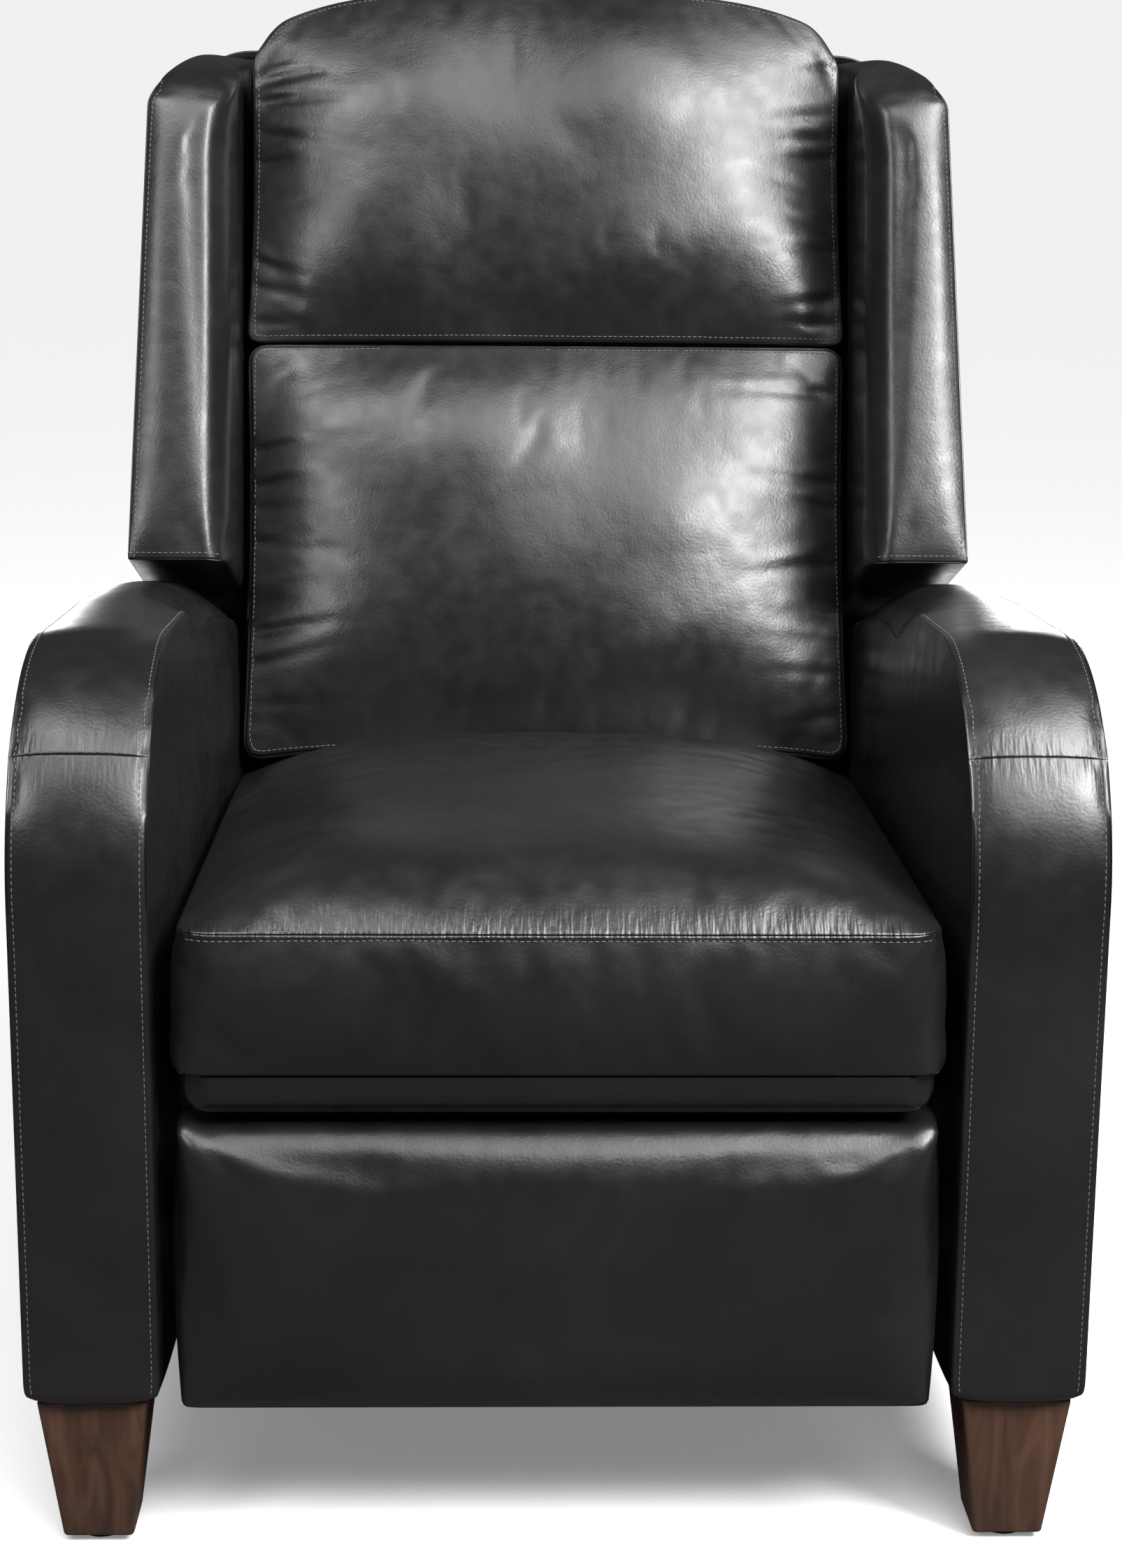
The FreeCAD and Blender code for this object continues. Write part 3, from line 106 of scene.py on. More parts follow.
bpy.ops.object.select_all(action="DESELECT")
bpy.ops.mesh.primitive_plane_add(size=FLOOR_SIZE)
floor = bpy.context.object
floor.name = "floor"
floor_finish, floor_shader = new_finish("pale_floor", FLOOR_COLOUR, 0.6)
floor_shader.inputs["Specular IOR Level"].default_value = 0.0
floor_tree = floor_finish.node_tree
floor_rays = floor_tree.nodes.new("ShaderNodeLightPath")
floor_mix = floor_tree.nodes.new("ShaderNodeMix")
floor_mix.data_type = "RGBA"
floor_mix.inputs["A"].default_value = (*FLOOR_REFLECTED, 1)
floor_mix.inputs["B"].default_value = (*FLOOR_COLOUR, 1)
floor_tree.links.new(floor_rays.outputs["Is Camera Ray"], floor_mix.inputs["Factor"])
floor_tree.links.new(floor_mix.outputs["Result"], floor_shader.inputs["Base Color"])
floor_glow = floor_tree.nodes.new("ShaderNodeMath")
floor_glow.operation = "MULTIPLY"
floor_glow.inputs[1].default_value = FLOOR_GLOW
floor_tree.links.new(floor_rays.outputs["Is Camera Ray"], floor_glow.inputs[0])
floor_tree.links.new(floor_glow.outputs["Value"], floor_shader.inputs["Emission Strength"])
floor_shader.inputs["Emission Color"].default_value = (1, 1, 1, 1)
floor.data.materials.append(floor_finish)

room = bpy.data.worlds.new("studio")
room.use_nodes = True
scene.world = room
room_tree = room.node_tree
soft = room_tree.nodes["Background"]
soft.inputs["Color"].default_value = (1, 1, 1, 1)
soft.inputs["Strength"].default_value = ROOM_LIGHT
seen = room_tree.nodes.new("ShaderNodeBackground")
seen.inputs["Color"].default_value = (1, 1, 1, 1)
seen.inputs["Strength"].default_value = ROOM_SEEN
rays = room_tree.nodes.new("ShaderNodeLightPath")
either = room_tree.nodes.new("ShaderNodeMixShader")
room_tree.links.new(rays.outputs["Is Camera Ray"], either.inputs["Fac"])
room_tree.links.new(soft.outputs["Background"], either.inputs[1])
room_tree.links.new(seen.outputs["Background"], either.inputs[2])
room_tree.links.new(either.outputs["Shader"], room_tree.nodes["World Output"].inputs["Surface"])

scene.view_settings.view_transform = "Standard"
bpy.ops.object.light_add(type="SUN", location=(0, -1, 3))
sky = bpy.context.object
sky.name = "sky_lamp"
sky.data.energy = SKY_LIGHT
sky.data.angle = SKY_SPREAD
sky.rotation_euler = (SKY_TILT, 0, SKY_TURN)

floor_in_shade = bpy.data.collections.new("floor_in_shade")
floor_in_shade.objects.link(floor)
floor_in_shade.collection_objects[0].light_linking.link_state = "EXCLUDE"
for lamp_name, place, target, wide, tall, power in LAMPS:
    bpy.ops.object.light_add(type="AREA", location=place)
    lamp = bpy.context.object
    lamp.name = lamp_name
    lamp.data.shape = "RECTANGLE"
    lamp.data.size = wide
    lamp.data.size_y = tall
    lamp.data.energy = power
    lamp.visible_camera = False
    if lamp_name.startswith("rear"):
        lamp.light_linking.receiver_collection = floor_in_shade
    aim = Vector(target) - Vector(place)
    lamp.rotation_euler = aim.to_track_quat("-Z", "Y").to_euler()


# Hidden frame: sawn hardwood rails and boards, glued and screwed. Plain wood with long grain,
# stained dark, so that it doesn't catch the eye in the gaps of the reclined chair.
FRAME_WOOD_TONES = [(0.3, (0.07, 0.045, 0.026)), (0.7, (0.15, 0.105, 0.065))]


def pattern(finish, kind, stretch=(1, 1, 1), **values):
    """A texture node on the piece's own coordinates, in metres, stretched along its axes."""
    tree = finish.node_tree
    place = tree.nodes.new("ShaderNodeTexCoord")
    mapping = tree.nodes.new("ShaderNodeMapping")
    mapping.inputs["Scale"].default_value = stretch
    node = tree.nodes.new(kind)
    for name, value in values.items():
        node.inputs[name.replace("_", " ")].default_value = value
    tree.links.new(place.outputs["Object"], mapping.inputs["Vector"])
    tree.links.new(mapping.outputs["Vector"], node.inputs["Vector"])
    return node


def shades(finish, source, stops):
    """Turns a pattern's value into colours or greys; stops are (place, colour)."""
    node = finish.node_tree.nodes.new("ShaderNodeValToRGB")
    ramp = node.color_ramp
    while len(ramp.elements) < len(stops):
        ramp.elements.new(0.5)
    for element, (place, colour) in zip(ramp.elements, stops):
        element.position = place
        element.color = (*colour, 1) if len(colour) == 3 else colour
    finish.node_tree.links.new(source, node.inputs["Fac"])
    return node.outputs["Color"]


def bumps(finish, shader, heights):
    """Chains bump nodes onto the shader's normal; heights are (output, strength, distance)."""
    tree = finish.node_tree
    last = None
    for height, strength, distance in heights:
        bump = tree.nodes.new("ShaderNodeBump")
        bump.inputs["Strength"].default_value = strength
        bump.inputs["Distance"].default_value = distance
        tree.links.new(height, bump.inputs["Height"])
        if last:
            tree.links.new(last, bump.inputs["Normal"])
        last = bump.outputs["Normal"]
    tree.links.new(last, shader.inputs["Normal"])


def tint(finish, shader, source, stops):
    """Lets a pattern vary the colour."""
    finish.node_tree.links.new(shades(finish, source, stops), shader.inputs["Base Color"])


def gloss(finish, shader, source, low, high, ends=(0.3, 0.7)):
    """Lets a pattern vary the roughness between two values."""
    stops = [(ends[0], (low, low, low)), (ends[1], (high, high, high))]
    finish.node_tree.links.new(shades(finish, source, stops), shader.inputs["Roughness"])


frame_wood, frame_wood_shader = new_finish("frame_wood", (0.11, 0.075, 0.045), 0.65)
grain = pattern(frame_wood, "ShaderNodeTexNoise", (30, 4, 30), Scale=3.0, Detail=6.0)
tint(frame_wood, frame_wood_shader, grain.outputs["Fac"], FRAME_WOOD_TONES)
bumps(frame_wood, frame_wood_shader, [(grain.outputs["Fac"], 0.3, 0.001)])


def dress(finish, *nodes):
    """Gives CAD nodes that keep their own shape a better finish."""
    for node in nodes:
        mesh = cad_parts[node].data
        mesh.materials.clear()
        mesh.materials.append(finish)


dress(
    frame_wood, "left_arm_frame", "right_arm_frame", "base_stretcher", "base_rear_rail",
    "seat_side_rails", "seat_front_rail", "seat_rear_rail", "footrest_board", "left_back_stile",
    "right_back_stile", "back_bottom_rail", "back_middle_rail", "back_top_rail", "wing_frames",
    "wing_rails",
)


# Mechanism: pressed steel plates and links in black paint, riveted, with zinc-plated rivets,
# bolts, axles and springs, and moulded nylon rollers that run in steel tracks.
black_steel, black_shader = new_finish("black_steel", (0.018, 0.018, 0.02), 0.42)
paint = pattern(black_steel, "ShaderNodeTexNoise", Scale=140.0, Detail=3.0)
gloss(black_steel, black_shader, paint.outputs["Fac"], 0.3, 0.52)
bumps(black_steel, black_shader, [(paint.outputs["Fac"], 0.12, 0.0004)])
dress(
    black_steel, "left_base_plate", "right_base_plate", "base_cross_tube", "roller_tracks",
    "left_seat_plate", "right_seat_plate", "seat_cross_tube", "drive_links", "coupler_links",
    "follower_links", "steady_links", "footrest_brackets", "back_brackets",
)

zinc, zinc_shader = new_finish("zinc_plate", (0.56, 0.56, 0.57), 0.34)
zinc_shader.inputs["Metallic"].default_value = 1.0
spangle = pattern(zinc, "ShaderNodeTexVoronoi", Scale=260.0)
gloss(zinc, zinc_shader, spangle.outputs["Distance"], 0.29, 0.44, (0.0, 0.8))
dress(
    zinc, "base_plate_screws", "leg_bolts", "seat_pivot_pins", "seat_follower_pins",
    "drive_link_pins", "follower_link_pins", "coupler_link_pins", "steady_link_pins",
    "roller_axles", "footrest_screws", "back_guide_pins", "seat_springs", "back_springs",
)

nylon, nylon_shader = new_finish("black_nylon", (0.02, 0.02, 0.02), 0.5)
mould = pattern(nylon, "ShaderNodeTexNoise", Scale=500.0, Detail=2.0)
gloss(nylon, nylon_shader, mould.outputs["Fac"], 0.42, 0.6)
dress(nylon, "front_rollers", "rear_rollers", "floor_glides")


# Legs: tapered square blocks of walnut, screwed up into the arm frames by hanger bolts.
# Stained brown, satin lacquer, the long edges eased by hand.
WALNUT_TONES = [
    (0.25, (0.031, 0.014, 0.009)),
    (0.5, (0.069, 0.032, 0.019)),
    (0.75, (0.108, 0.053, 0.032)),
]
LEG_EDGE = 0.003

walnut, walnut_shader = new_finish("walnut", (0.08, 0.04, 0.025), 0.38)
rings = pattern(walnut, "ShaderNodeTexNoise", (26, 26, 3.2), Scale=2.4, Detail=7.0, Distortion=1.2)
pores = pattern(walnut, "ShaderNodeTexNoise", (420, 420, 22), Scale=1.0, Detail=2.0)
tint(walnut, walnut_shader, rings.outputs["Fac"], WALNUT_TONES)
gloss(walnut, walnut_shader, pores.outputs["Fac"], 0.3, 0.46)
bumps(walnut, walnut_shader, [(pores.outputs["Fac"], 0.15, 0.0004)])


def points_of(piece):
    flat = np.zeros(len(piece.data.vertices) * 3)
    piece.data.vertices.foreach_get("co", flat)
    return flat.reshape(-1, 3)


def put_points(piece, points):
    piece.data.vertices.foreach_set("co", np.ascontiguousarray(points).ravel())
    piece.data.update()


for leg_node in ("front_left_leg", "front_right_leg", "rear_left_leg", "rear_right_leg"):
    low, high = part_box(leg_node)
    bpy.ops.object.select_all(action="DESELECT")
    bpy.ops.mesh.primitive_cube_add(size=2)
    leg = bpy.context.object
    leg.name = leg_node.replace("_leg", "_walnut_leg")
    source = np.array([v.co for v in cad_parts[leg_node].data.vertices])
    corners = []
    for unit in points_of(leg):
        z = high.z if unit[2] > 0 else low.z
        rim = source[np.abs(source[:, 2] - z) < 1e-5]
        corners.append((
            rim[:, 0].max() if unit[0] > 0 else rim[:, 0].min(),
            rim[:, 1].max() if unit[1] > 0 else rim[:, 1].min(),
            z,
        ))
    put_points(leg, np.array(corners))
    bpy.ops.object.mode_set(mode="EDIT")
    bpy.ops.mesh.select_all(action="SELECT")
    bpy.ops.mesh.bevel(offset=LEG_EDGE, segments=3, affect="EDGES")
    bpy.ops.object.mode_set(mode="OBJECT")
    bpy.ops.object.shade_smooth_by_angle(angle=math.radians(40))
    leg.data.materials.append(walnut)
    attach(leg, "base")
    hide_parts(leg_node)


# Arms: a timber frame padded and covered in leather. A long strip runs up the front, over the
# curved nose and back along the top; it is sewn to an inner and an outer panel along both edges,
# and two lengths of it meet in a cross seam on the nose.
LEATHER_TONES = [
    (0.30, (0.0056, 0.0047, 0.0051)),
    (0.52, (0.0081, 0.0069, 0.0074)),
    (0.72, (0.0116, 0.0101, 0.0108)),
]
THREAD_TONES = [(0.3, (0.045, 0.044, 0.045)), (0.7, (0.12, 0.117, 0.12))]
ARM_MIDDLE = 0.326
ARM_HALF = 0.0475
ARM_FRONT = -0.4265
ARM_FOOT = 0.116
ARM_NOSE = 0.165
ARM_TOP = 0.642
ARM_CROSS_SEAM = 143
ARM_SEAM_INSET = 0.0045
ARM_CUTS = (11, 62, 52)
ARM_LINE = ((0.470, 0.634), (0.600, 0.590), (0.680, 0.552))
ARM_ROUNDING = (0.026, 0.028, 0.035)
ARM_HUMP = 0.012
ARM_HUMP_START = 0.34
ARM_HUMP_RUN = 0.2
ARM_REAR_REACH = 0.0110
ARM_REAR_START = (0.45, 0.34)
ARM_REAR_RUN = (0.08, 0.06)
ARM_HEART = (0.30, 0.36)
ARM_FOOT_CORNER = 0.010
ARM_BELLY = 0.0035
ARM_NOTCH_PLACES = (0.285, 0.375, 0.560, 0.680)
ARM_NOTCH_DROPS = (0.0, 0.030, 0.014, 0.012)
SEAM_WIDTH = 0.0035
SEAM_DEPTH = 0.0022
STITCH_LENGTH = 0.0034
STITCH_PITCH = 0.0046
STITCH_RADIUS = 0.00045
STITCH_OFFSET = 0.0042

leather, leather_shader = new_finish("charcoal_leather", (0.009, 0.008, 0.0085), 0.32)
leather_shader.inputs["Specular IOR Level"].default_value = 0.5
clouds = pattern(leather, "ShaderNodeTexNoise", Scale=7.0, Detail=5.0, Distortion=0.6)
creases = pattern(leather, "ShaderNodeTexNoise", Scale=55.0, Detail=1.0)
pebbles = pattern(leather, "ShaderNodeTexNoise", Scale=430.0, Detail=1.0)
tint(leather, leather_shader, clouds.outputs["Fac"], LEATHER_TONES)
gloss(leather, leather_shader, creases.outputs["Fac"], 0.285, 0.37)
gathers = pattern(leather, "ShaderNodeTexNoise", (330, 50, 50), Scale=1.0, Detail=1.0)
gathered = leather.node_tree.nodes.new("ShaderNodeAttribute")
gathered.attribute_name = "gathered"
folds = leather.node_tree.nodes.new("ShaderNodeMath")
folds.operation = "MULTIPLY"
leather.node_tree.links.new(gathers.outputs["Fac"], folds.inputs[0])
leather.node_tree.links.new(gathered.outputs["Fac"], folds.inputs[1])
bumps(leather, leather_shader, [
    (folds.outputs["Value"], 0.9, 0.004),
    (creases.outputs["Fac"], 0.22, 0.0016),
    (pebbles.outputs["Fac"], 0.20, 0.0006),
])

thread, thread_shader = new_finish("grey_thread", (0.08, 0.078, 0.08), 0.55)
twist = pattern(thread, "ShaderNodeTexNoise", Scale=1800.0, Detail=1.0)
tint(thread, thread_shader, twist.outputs["Fac"], THREAD_TONES)


def only(piece):
    bpy.ops.object.select_all(action="DESELECT")
    piece.select_set(True)
    bpy.context.view_layer.objects.active = piece


def pick_edges(piece, chosen):
    """Selects just these edges of a mesh, in edge mode."""
    only(piece)
    bpy.ops.object.mode_set(mode="EDIT")
    bpy.ops.mesh.select_mode(type="EDGE")
    bpy.ops.mesh.select_all(action="DESELECT")
    bpy.ops.object.mode_set(mode="OBJECT")
    piece.data.edges.foreach_set("select", np.asarray(chosen, dtype=bool))
    bpy.ops.object.mode_set(mode="EDIT")


def block(name, cuts):
    """A cube of half size 1 with a grid on each face. Its twelve edges become the cover's seams."""
    bpy.ops.object.select_all(action="DESELECT")
    bpy.ops.mesh.primitive_cube_add(size=2)
    piece = bpy.context.object
    piece.name = name
    piece.data.name = name
    for axis, count in enumerate(cuts):
        points = points_of(piece)
        ends = np.zeros(len(piece.data.edges) * 2, dtype=int)
        piece.data.edges.foreach_get("vertices", ends)
        runs = np.abs(points[ends[1::2]] - points[ends[0::2]])
        pick_edges(piece, runs[:, axis] > 1e-6)
        bpy.ops.mesh.subdivide(number_cuts=count)
        bpy.ops.object.mode_set(mode="OBJECT")
    return piece


def round_corner(p, q, end_p, end_q, radius, way_p=1, way_q=1):
    """Bends the corner at (end_p, end_q) of two coordinates round; way is the side it is on."""
    a = np.clip(1 - way_p * (end_p - p) / radius, 0, 1)
    b = np.clip(1 - way_q * (end_q - q) / radius, 0, 1)
    both = (a > 0) & (b > 0)
    bent_p = end_p - way_p * radius * (1 - a * np.sqrt(1 - b * b / 2))
    bent_q = end_q - way_q * radius * (1 - b * np.sqrt(1 - a * a / 2))
    return np.where(both, bent_p, p), np.where(both, bent_q, q)


def cube_edges(unit, *wanted):
    """The points on some edges of the cube, each in order. An edge is given as {axis: side}."""
    lines = []
    for edge in wanted:
        on = np.ones(len(unit), dtype=bool)
        for axis, side in edge.items():
            on &= np.abs(unit[:, axis] - side) < 1e-6
        run = [axis for axis in range(3) if axis not in edge][0]
        found = np.flatnonzero(on)
        lines.append(found[np.argsort(unit[found, run])])
    return lines


def puff(piece, held, pressure, cap, slack=0.0):
    """Swells a cover over its filling by cloth simulation. Held points stay, no other point moves
    further than the cap, and slack is the share by which the cover is cut too large."""
    start = points_of(piece)
    group = piece.vertex_groups.new(name="held")
    group.add([int(index) for index in np.flatnonzero(held)], 1.0, "REPLACE")
    only(piece)
    cover = piece.modifiers.new("Cloth", "CLOTH")
    settings = cover.settings
    settings.quality = 5
    settings.mass = 0.3
    settings.tension_stiffness = 12
    settings.compression_stiffness = 12
    settings.shear_stiffness = 5
    settings.bending_stiffness = 0.6
    settings.use_pressure = True
    settings.uniform_pressure_force = pressure
    settings.vertex_group_mass = "held"
    settings.shrink_min = -slack
    settings.effector_weights.gravity = 0
    for step in range(1, 21):
        scene.frame_set(step)
    bpy.ops.object.modifier_apply(modifier="Cloth")
    scene.frame_set(1)
    piece.vertex_groups.clear()
    move = points_of(piece) - start
    reach = np.linalg.norm(move, axis=1, keepdims=True)
    move *= cap * np.tanh(reach / cap) / np.maximum(reach, 1e-9)
    put_points(piece, start + move)


def sew(piece, seams, width=SEAM_WIDTH, depth=SEAM_DEPTH):
    """Presses the seams in as grooves, smooths the cover and returns each groove's line."""
    points = points_of(piece)
    on_seam = np.zeros(len(points), dtype=bool)
    pairs = set()
    for seam in seams:
        on_seam[seam] = True
        for first, second in zip(seam[:-1], seam[1:]):
            pairs.add((min(first, second), max(first, second)))
    ends = np.zeros(len(piece.data.edges) * 2, dtype=int)
    piece.data.edges.foreach_get("vertices", ends)
    ends = np.sort(ends.reshape(-1, 2), axis=1)
    pick_edges(piece, [tuple(pair) in pairs for pair in ends.tolist()])
    bpy.ops.mesh.bevel(offset=width, segments=4, affect="EDGES", clamp_overlap=True)
    bpy.ops.object.mode_set(mode="OBJECT")
    sewn = points_of(piece)
    old = KDTree(int(on_seam.sum()))
    for index in np.flatnonzero(on_seam):
        old.insert(points[index], int(index))
    old.balance()
    nearest = {}
    for index, point in enumerate(sewn):
        _, seam_index, gap = old.find(point)
        if gap < width * 1.2 and gap < nearest.get(seam_index, (1, 0))[0]:
            nearest[seam_index] = (gap, index)
    normals = np.zeros(len(sewn) * 3)
    piece.data.vertices.foreach_get("normal", normals)
    normals = normals.reshape(-1, 3)
    middle = [index for _, index in nearest.values()]
    sewn[middle] -= normals[middle] * depth
    put_points(piece, sewn)
    smooth = piece.modifiers.new("Smooth", "SUBSURF")
    smooth.levels = 1
    smooth.render_levels = 1
    only(piece)
    bpy.ops.object.modifier_apply(modifier="Smooth")
    bpy.ops.object.shade_smooth()
    final = points_of(piece)
    return [final[[nearest[index][1] for index in seam if index in nearest]] for seam in seams]


def gather(piece, line, reach, strength, towards=None):
    """Marks the leather beside a seam, where fine folds run from the stitches into the panel."""
    points = points_of(piece)
    seam = KDTree(len(line))
    for index, spot in enumerate(line):
        seam.insert(spot, index)
    seam.balance()
    share = np.zeros(len(points))
    for index, point in enumerate(points):
        spot, _, gap = seam.find(point)
        aside = 1 if towards is None else np.dot(point - np.array(spot), towards)
        if gap < reach and aside > -0.001:
            share[index] = strength * (1 - gap / reach) ** 1.3
    if "gathered" not in piece.data.attributes:
        piece.data.attributes.new("gathered", "FLOAT", "POINT")
    piece.data.attributes["gathered"].data.foreach_set("value", share)


def even_points(line, pitch):
    """Points at an even pitch along a line, with the way it runs at each."""
    steps = np.linalg.norm(np.diff(line, axis=0), axis=1)
    along = np.concatenate([[0], np.cumsum(steps)])
    places = np.arange(pitch / 2, along[-1], pitch)
    spots = np.stack([np.interp(places, along, line[:, axis]) for axis in range(3)], axis=1)
    further = np.minimum(places + pitch / 3, along[-1])
    next_spots = np.stack([np.interp(further, along, line[:, axis]) for axis in range(3)], axis=1)
    ways = next_spots - spots
    ways /= np.maximum(np.linalg.norm(ways, axis=1, keepdims=True), 1e-9)
    return spots, ways


def stitch(name, piece, rows):
    """Top stitching beside the seams: short threads laid on the cover. rows are (line, towards),
    and towards points from the seam onto the panel that is stitched."""
    mesh = piece.data
    corners = [vertex.co for vertex in mesh.vertices]
    tree = BVHTree.FromPolygons(corners, [face.vertices[:] for face in mesh.polygons])
    points = []
    faces = []
    profile = ((-0.5, 0.25), (-0.3, 0.9), (0.3, 0.9), (0.5, 0.25))
    sides = 6
    for line, towards in rows:
        spots, ways = even_points(line, STITCH_PITCH)
        for spot, way in zip(spots, ways):
            way = Vector(way)
            aside = Vector(towards) - way * way.dot(Vector(towards))
            aside.normalize()
            place, normal, _, _ = tree.find_nearest(Vector(spot) + aside * STITCH_OFFSET)
            across = way.cross(normal).normalized()
            start = len(points)
            for share, fullness in profile:
                for side in range(sides):
                    angle = 2 * math.pi * side / sides
                    spread = across * math.cos(angle) + normal * (math.sin(angle) * 0.8 + 0.25)
                    points.append(place + way * (share * STITCH_LENGTH)
                                  + spread * (STITCH_RADIUS * fullness))
            for ring in range(len(profile) - 1):
                for side in range(sides):
                    first = start + ring * sides + side
                    second = start + ring * sides + (side + 1) % sides
                    faces.append((first, first + sides, second + sides, second))
            faces.append([start + side for side in range(sides)])
            last = start + (len(profile) - 1) * sides
            faces.append([last + side for side in reversed(range(sides))])
    threads = bpy.data.meshes.new(name)
    threads.from_pydata(points, [], faces)
    stitches = bpy.data.objects.new(name, threads)
    scene.collection.objects.link(stitches)
    only(stitches)
    bpy.ops.object.mode_set(mode="EDIT")
    bpy.ops.mesh.select_all(action="SELECT")
    bpy.ops.mesh.normals_make_consistent(inside=False)
    bpy.ops.object.mode_set(mode="OBJECT")
    bpy.ops.object.shade_smooth()
    threads.materials.append(thread)
    return stitches


def cover_up(piece, body, fill, *nodes):
    """The calls that every padded leather piece needs."""
    piece.data.materials.clear()
    piece.data.materials.append(leather)
    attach(piece, body)
    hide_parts(*nodes)


def add_stitches(name, piece, rows, body):
    stitches = stitch(name, piece, rows)
    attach(stitches, body)


def mirrored(piece, name):
    """A copy of a right-hand piece for the left, turned right side out again."""
    only(piece)
    bpy.ops.object.duplicate()
    copy = bpy.context.object
    copy.name = name
    copy.data.name = name
    points = points_of(copy)
    points[:, 0] *= -1
    put_points(copy, points)
    bpy.ops.object.mode_set(mode="EDIT")
    bpy.ops.mesh.select_all(action="SELECT")
    bpy.ops.mesh.flip_normals()
    bpy.ops.object.mode_set(mode="OBJECT")
    return copy


def rounded_line(start, corners, reaches, last):
    """A line from start through corners to last, each corner cut off in a smooth bend."""
    stops = [start, *corners, last]
    line = [np.array(start)]
    for index, reach in enumerate(reaches, 1):
        corner = np.array(stops[index])
        before = np.array(stops[index - 1]) - corner
        after = np.array(stops[index + 1]) - corner
        first = corner + before / np.linalg.norm(before) * reach
        second = corner + after / np.linalg.norm(after) * reach
        for t in np.linspace(0, 1, 9):
            line.append(first * (1 - t) ** 2 + corner * 2 * t * (1 - t) + second * t**2)
    line.append(np.array(last))
    return np.array(line)


def along_line(line, share):
    steps = np.linalg.norm(np.diff(line, axis=0), axis=1)
    places = np.concatenate([[0], np.cumsum(steps)]) / steps.sum()
    return np.stack([np.interp(share, places, line[:, axis]) for axis in range(2)], axis=1)


def arm_form(unit):
    """Places the cube's points on the arm: depth and height from its side outline."""
    nose_middle = np.array((ARM_NOSE, ARM_TOP - ARM_NOSE))
    turn = np.radians(np.linspace(180, ARM_CROSS_SEAM, 13))
    lower = nose_middle + ARM_NOSE * np.stack([np.cos(turn), np.sin(turn)], axis=1)
    turn = np.radians(np.linspace(ARM_CROSS_SEAM, 90, 13))
    upper = nose_middle + ARM_NOSE * np.stack([np.cos(turn), np.sin(turn)], axis=1)
    front = np.concatenate([[(0.0, ARM_FOOT)], lower])
    length = ARM_LINE[-1][0]
    crest = rounded_line(tuple(upper[-1]), ARM_LINE, ARM_ROUNDING, (length, ARM_FOOT))
    turn_back = len(crest) - 6
    top = np.concatenate([upper[:-1], crest[:turn_back + 1]])
    rear = crest[turn_back:][::-1]
    bottom = np.array([(0.0, ARM_FOOT), (length, ARM_FOOT)])
    v = (unit[:, 1] + 1) / 2
    w = (unit[:, 2] + 1) / 2
    low = along_line(bottom, v)
    high = along_line(top, v)
    near = along_line(front, w)
    far = along_line(rear, w)
    v = v[:, None]
    w = w[:, None]
    corners = ((1 - v) * (1 - w) * front[0] + v * (1 - w) * rear[0]
               + (1 - v) * w * top[0] + v * w * top[-1])
    side = (1 - w) * low + w * high + (1 - v) * near + v * far - corners
    inward = np.array(ARM_HEART) - side
    inward /= np.maximum(np.linalg.norm(inward, axis=1, keepdims=True), 1e-6)
    u = unit[:, 0]
    hem = np.clip(np.maximum(np.abs(unit[:, 1]), unit[:, 2]), 0, 1) ** 12
    side = side + inward * (ARM_SEAM_INSET * (np.abs(u) ** 3) * hem)[:, None]
    late = np.clip((side[:, 0] - ARM_HUMP_START) / ARM_HUMP_RUN, 0, 1)
    drop = ARM_HUMP * np.clip(u, 0, 1) ** 2.5 * late
    notch = np.interp(side[:, 0], ARM_NOTCH_PLACES, ARM_NOTCH_DROPS)
    drop = drop + (notch + 0.4 * ARM_HUMP * late) * np.clip(-u, 0, 1) ** 3
    side[:, 1] -= drop * np.clip((unit[:, 2] + 1) / 2, 0, 1) ** 2
    belly = (1 - np.abs(unit[:, 1]) ** 6) * (1 - np.clip(unit[:, 2], -0.2, 1) ** 6)
    x = ARM_MIDDLE + u * ARM_HALF
    z = side[:, 1]
    for way in (-1, 1):
        end = ARM_MIDDLE + way * ARM_HALF
        x, z = round_corner(x, z, end, ARM_FOOT, ARM_FOOT_CORNER, way, -1)
    x = x + np.sign(u) * (np.abs(u) > 0.999) * ARM_BELLY * belly
    back = np.clip((side[:, 0] - ARM_REAR_START[0]) / ARM_REAR_RUN[0], 0, 1)
    back = back * np.clip((z - ARM_REAR_START[1]) / ARM_REAR_RUN[1], 0, 1)
    x = x - ARM_REAR_REACH * back * np.clip(-u, 0, 1) ** 2
    return np.stack([x, ARM_FRONT + side[:, 0], z], axis=1)


right_arm = block("right_arm_cover", ARM_CUTS)
arm_unit = points_of(right_arm)
put_points(right_arm, arm_form(arm_unit))
arm_seams = cube_edges(
    arm_unit, {0: -1, 1: -1}, {0: 1, 1: -1}, {0: -1, 2: 1}, {0: 1, 2: 1}, {1: -1, 2: 1},
    {0: -1, 1: 1}, {0: 1, 1: 1},
)
arm_held = np.zeros(len(arm_unit), dtype=bool)
for arm_seam in arm_seams:
    arm_held[arm_seam] = True
arm_held |= arm_unit[:, 2] < -0.97
puff(right_arm, arm_held, pressure=3.0, cap=0.005)
arm_lines = sew(right_arm, arm_seams)
gather(right_arm, arm_lines[4], reach=0.030, strength=0.22)
left_arm = mirrored(right_arm, "left_arm_cover")
arm_rows = [
    (arm_lines[0], (1, 0, 0)), (arm_lines[2], (1, 0, 0)),
    (arm_lines[1], (-1, 0, 0)), (arm_lines[3], (-1, 0, 0)),
]
cover_up(right_arm, "base", 0.8, "right_arm_upholstery")
cover_up(left_arm, "base", 0.8, "left_arm_upholstery")
add_stitches("right_arm_stitching", right_arm, arm_rows, "base")
MIRROR = np.array((-1, 1, 1))
left_rows = [(line * MIRROR, tuple(np.array(way) * MIRROR)) for line, way in arm_rows]
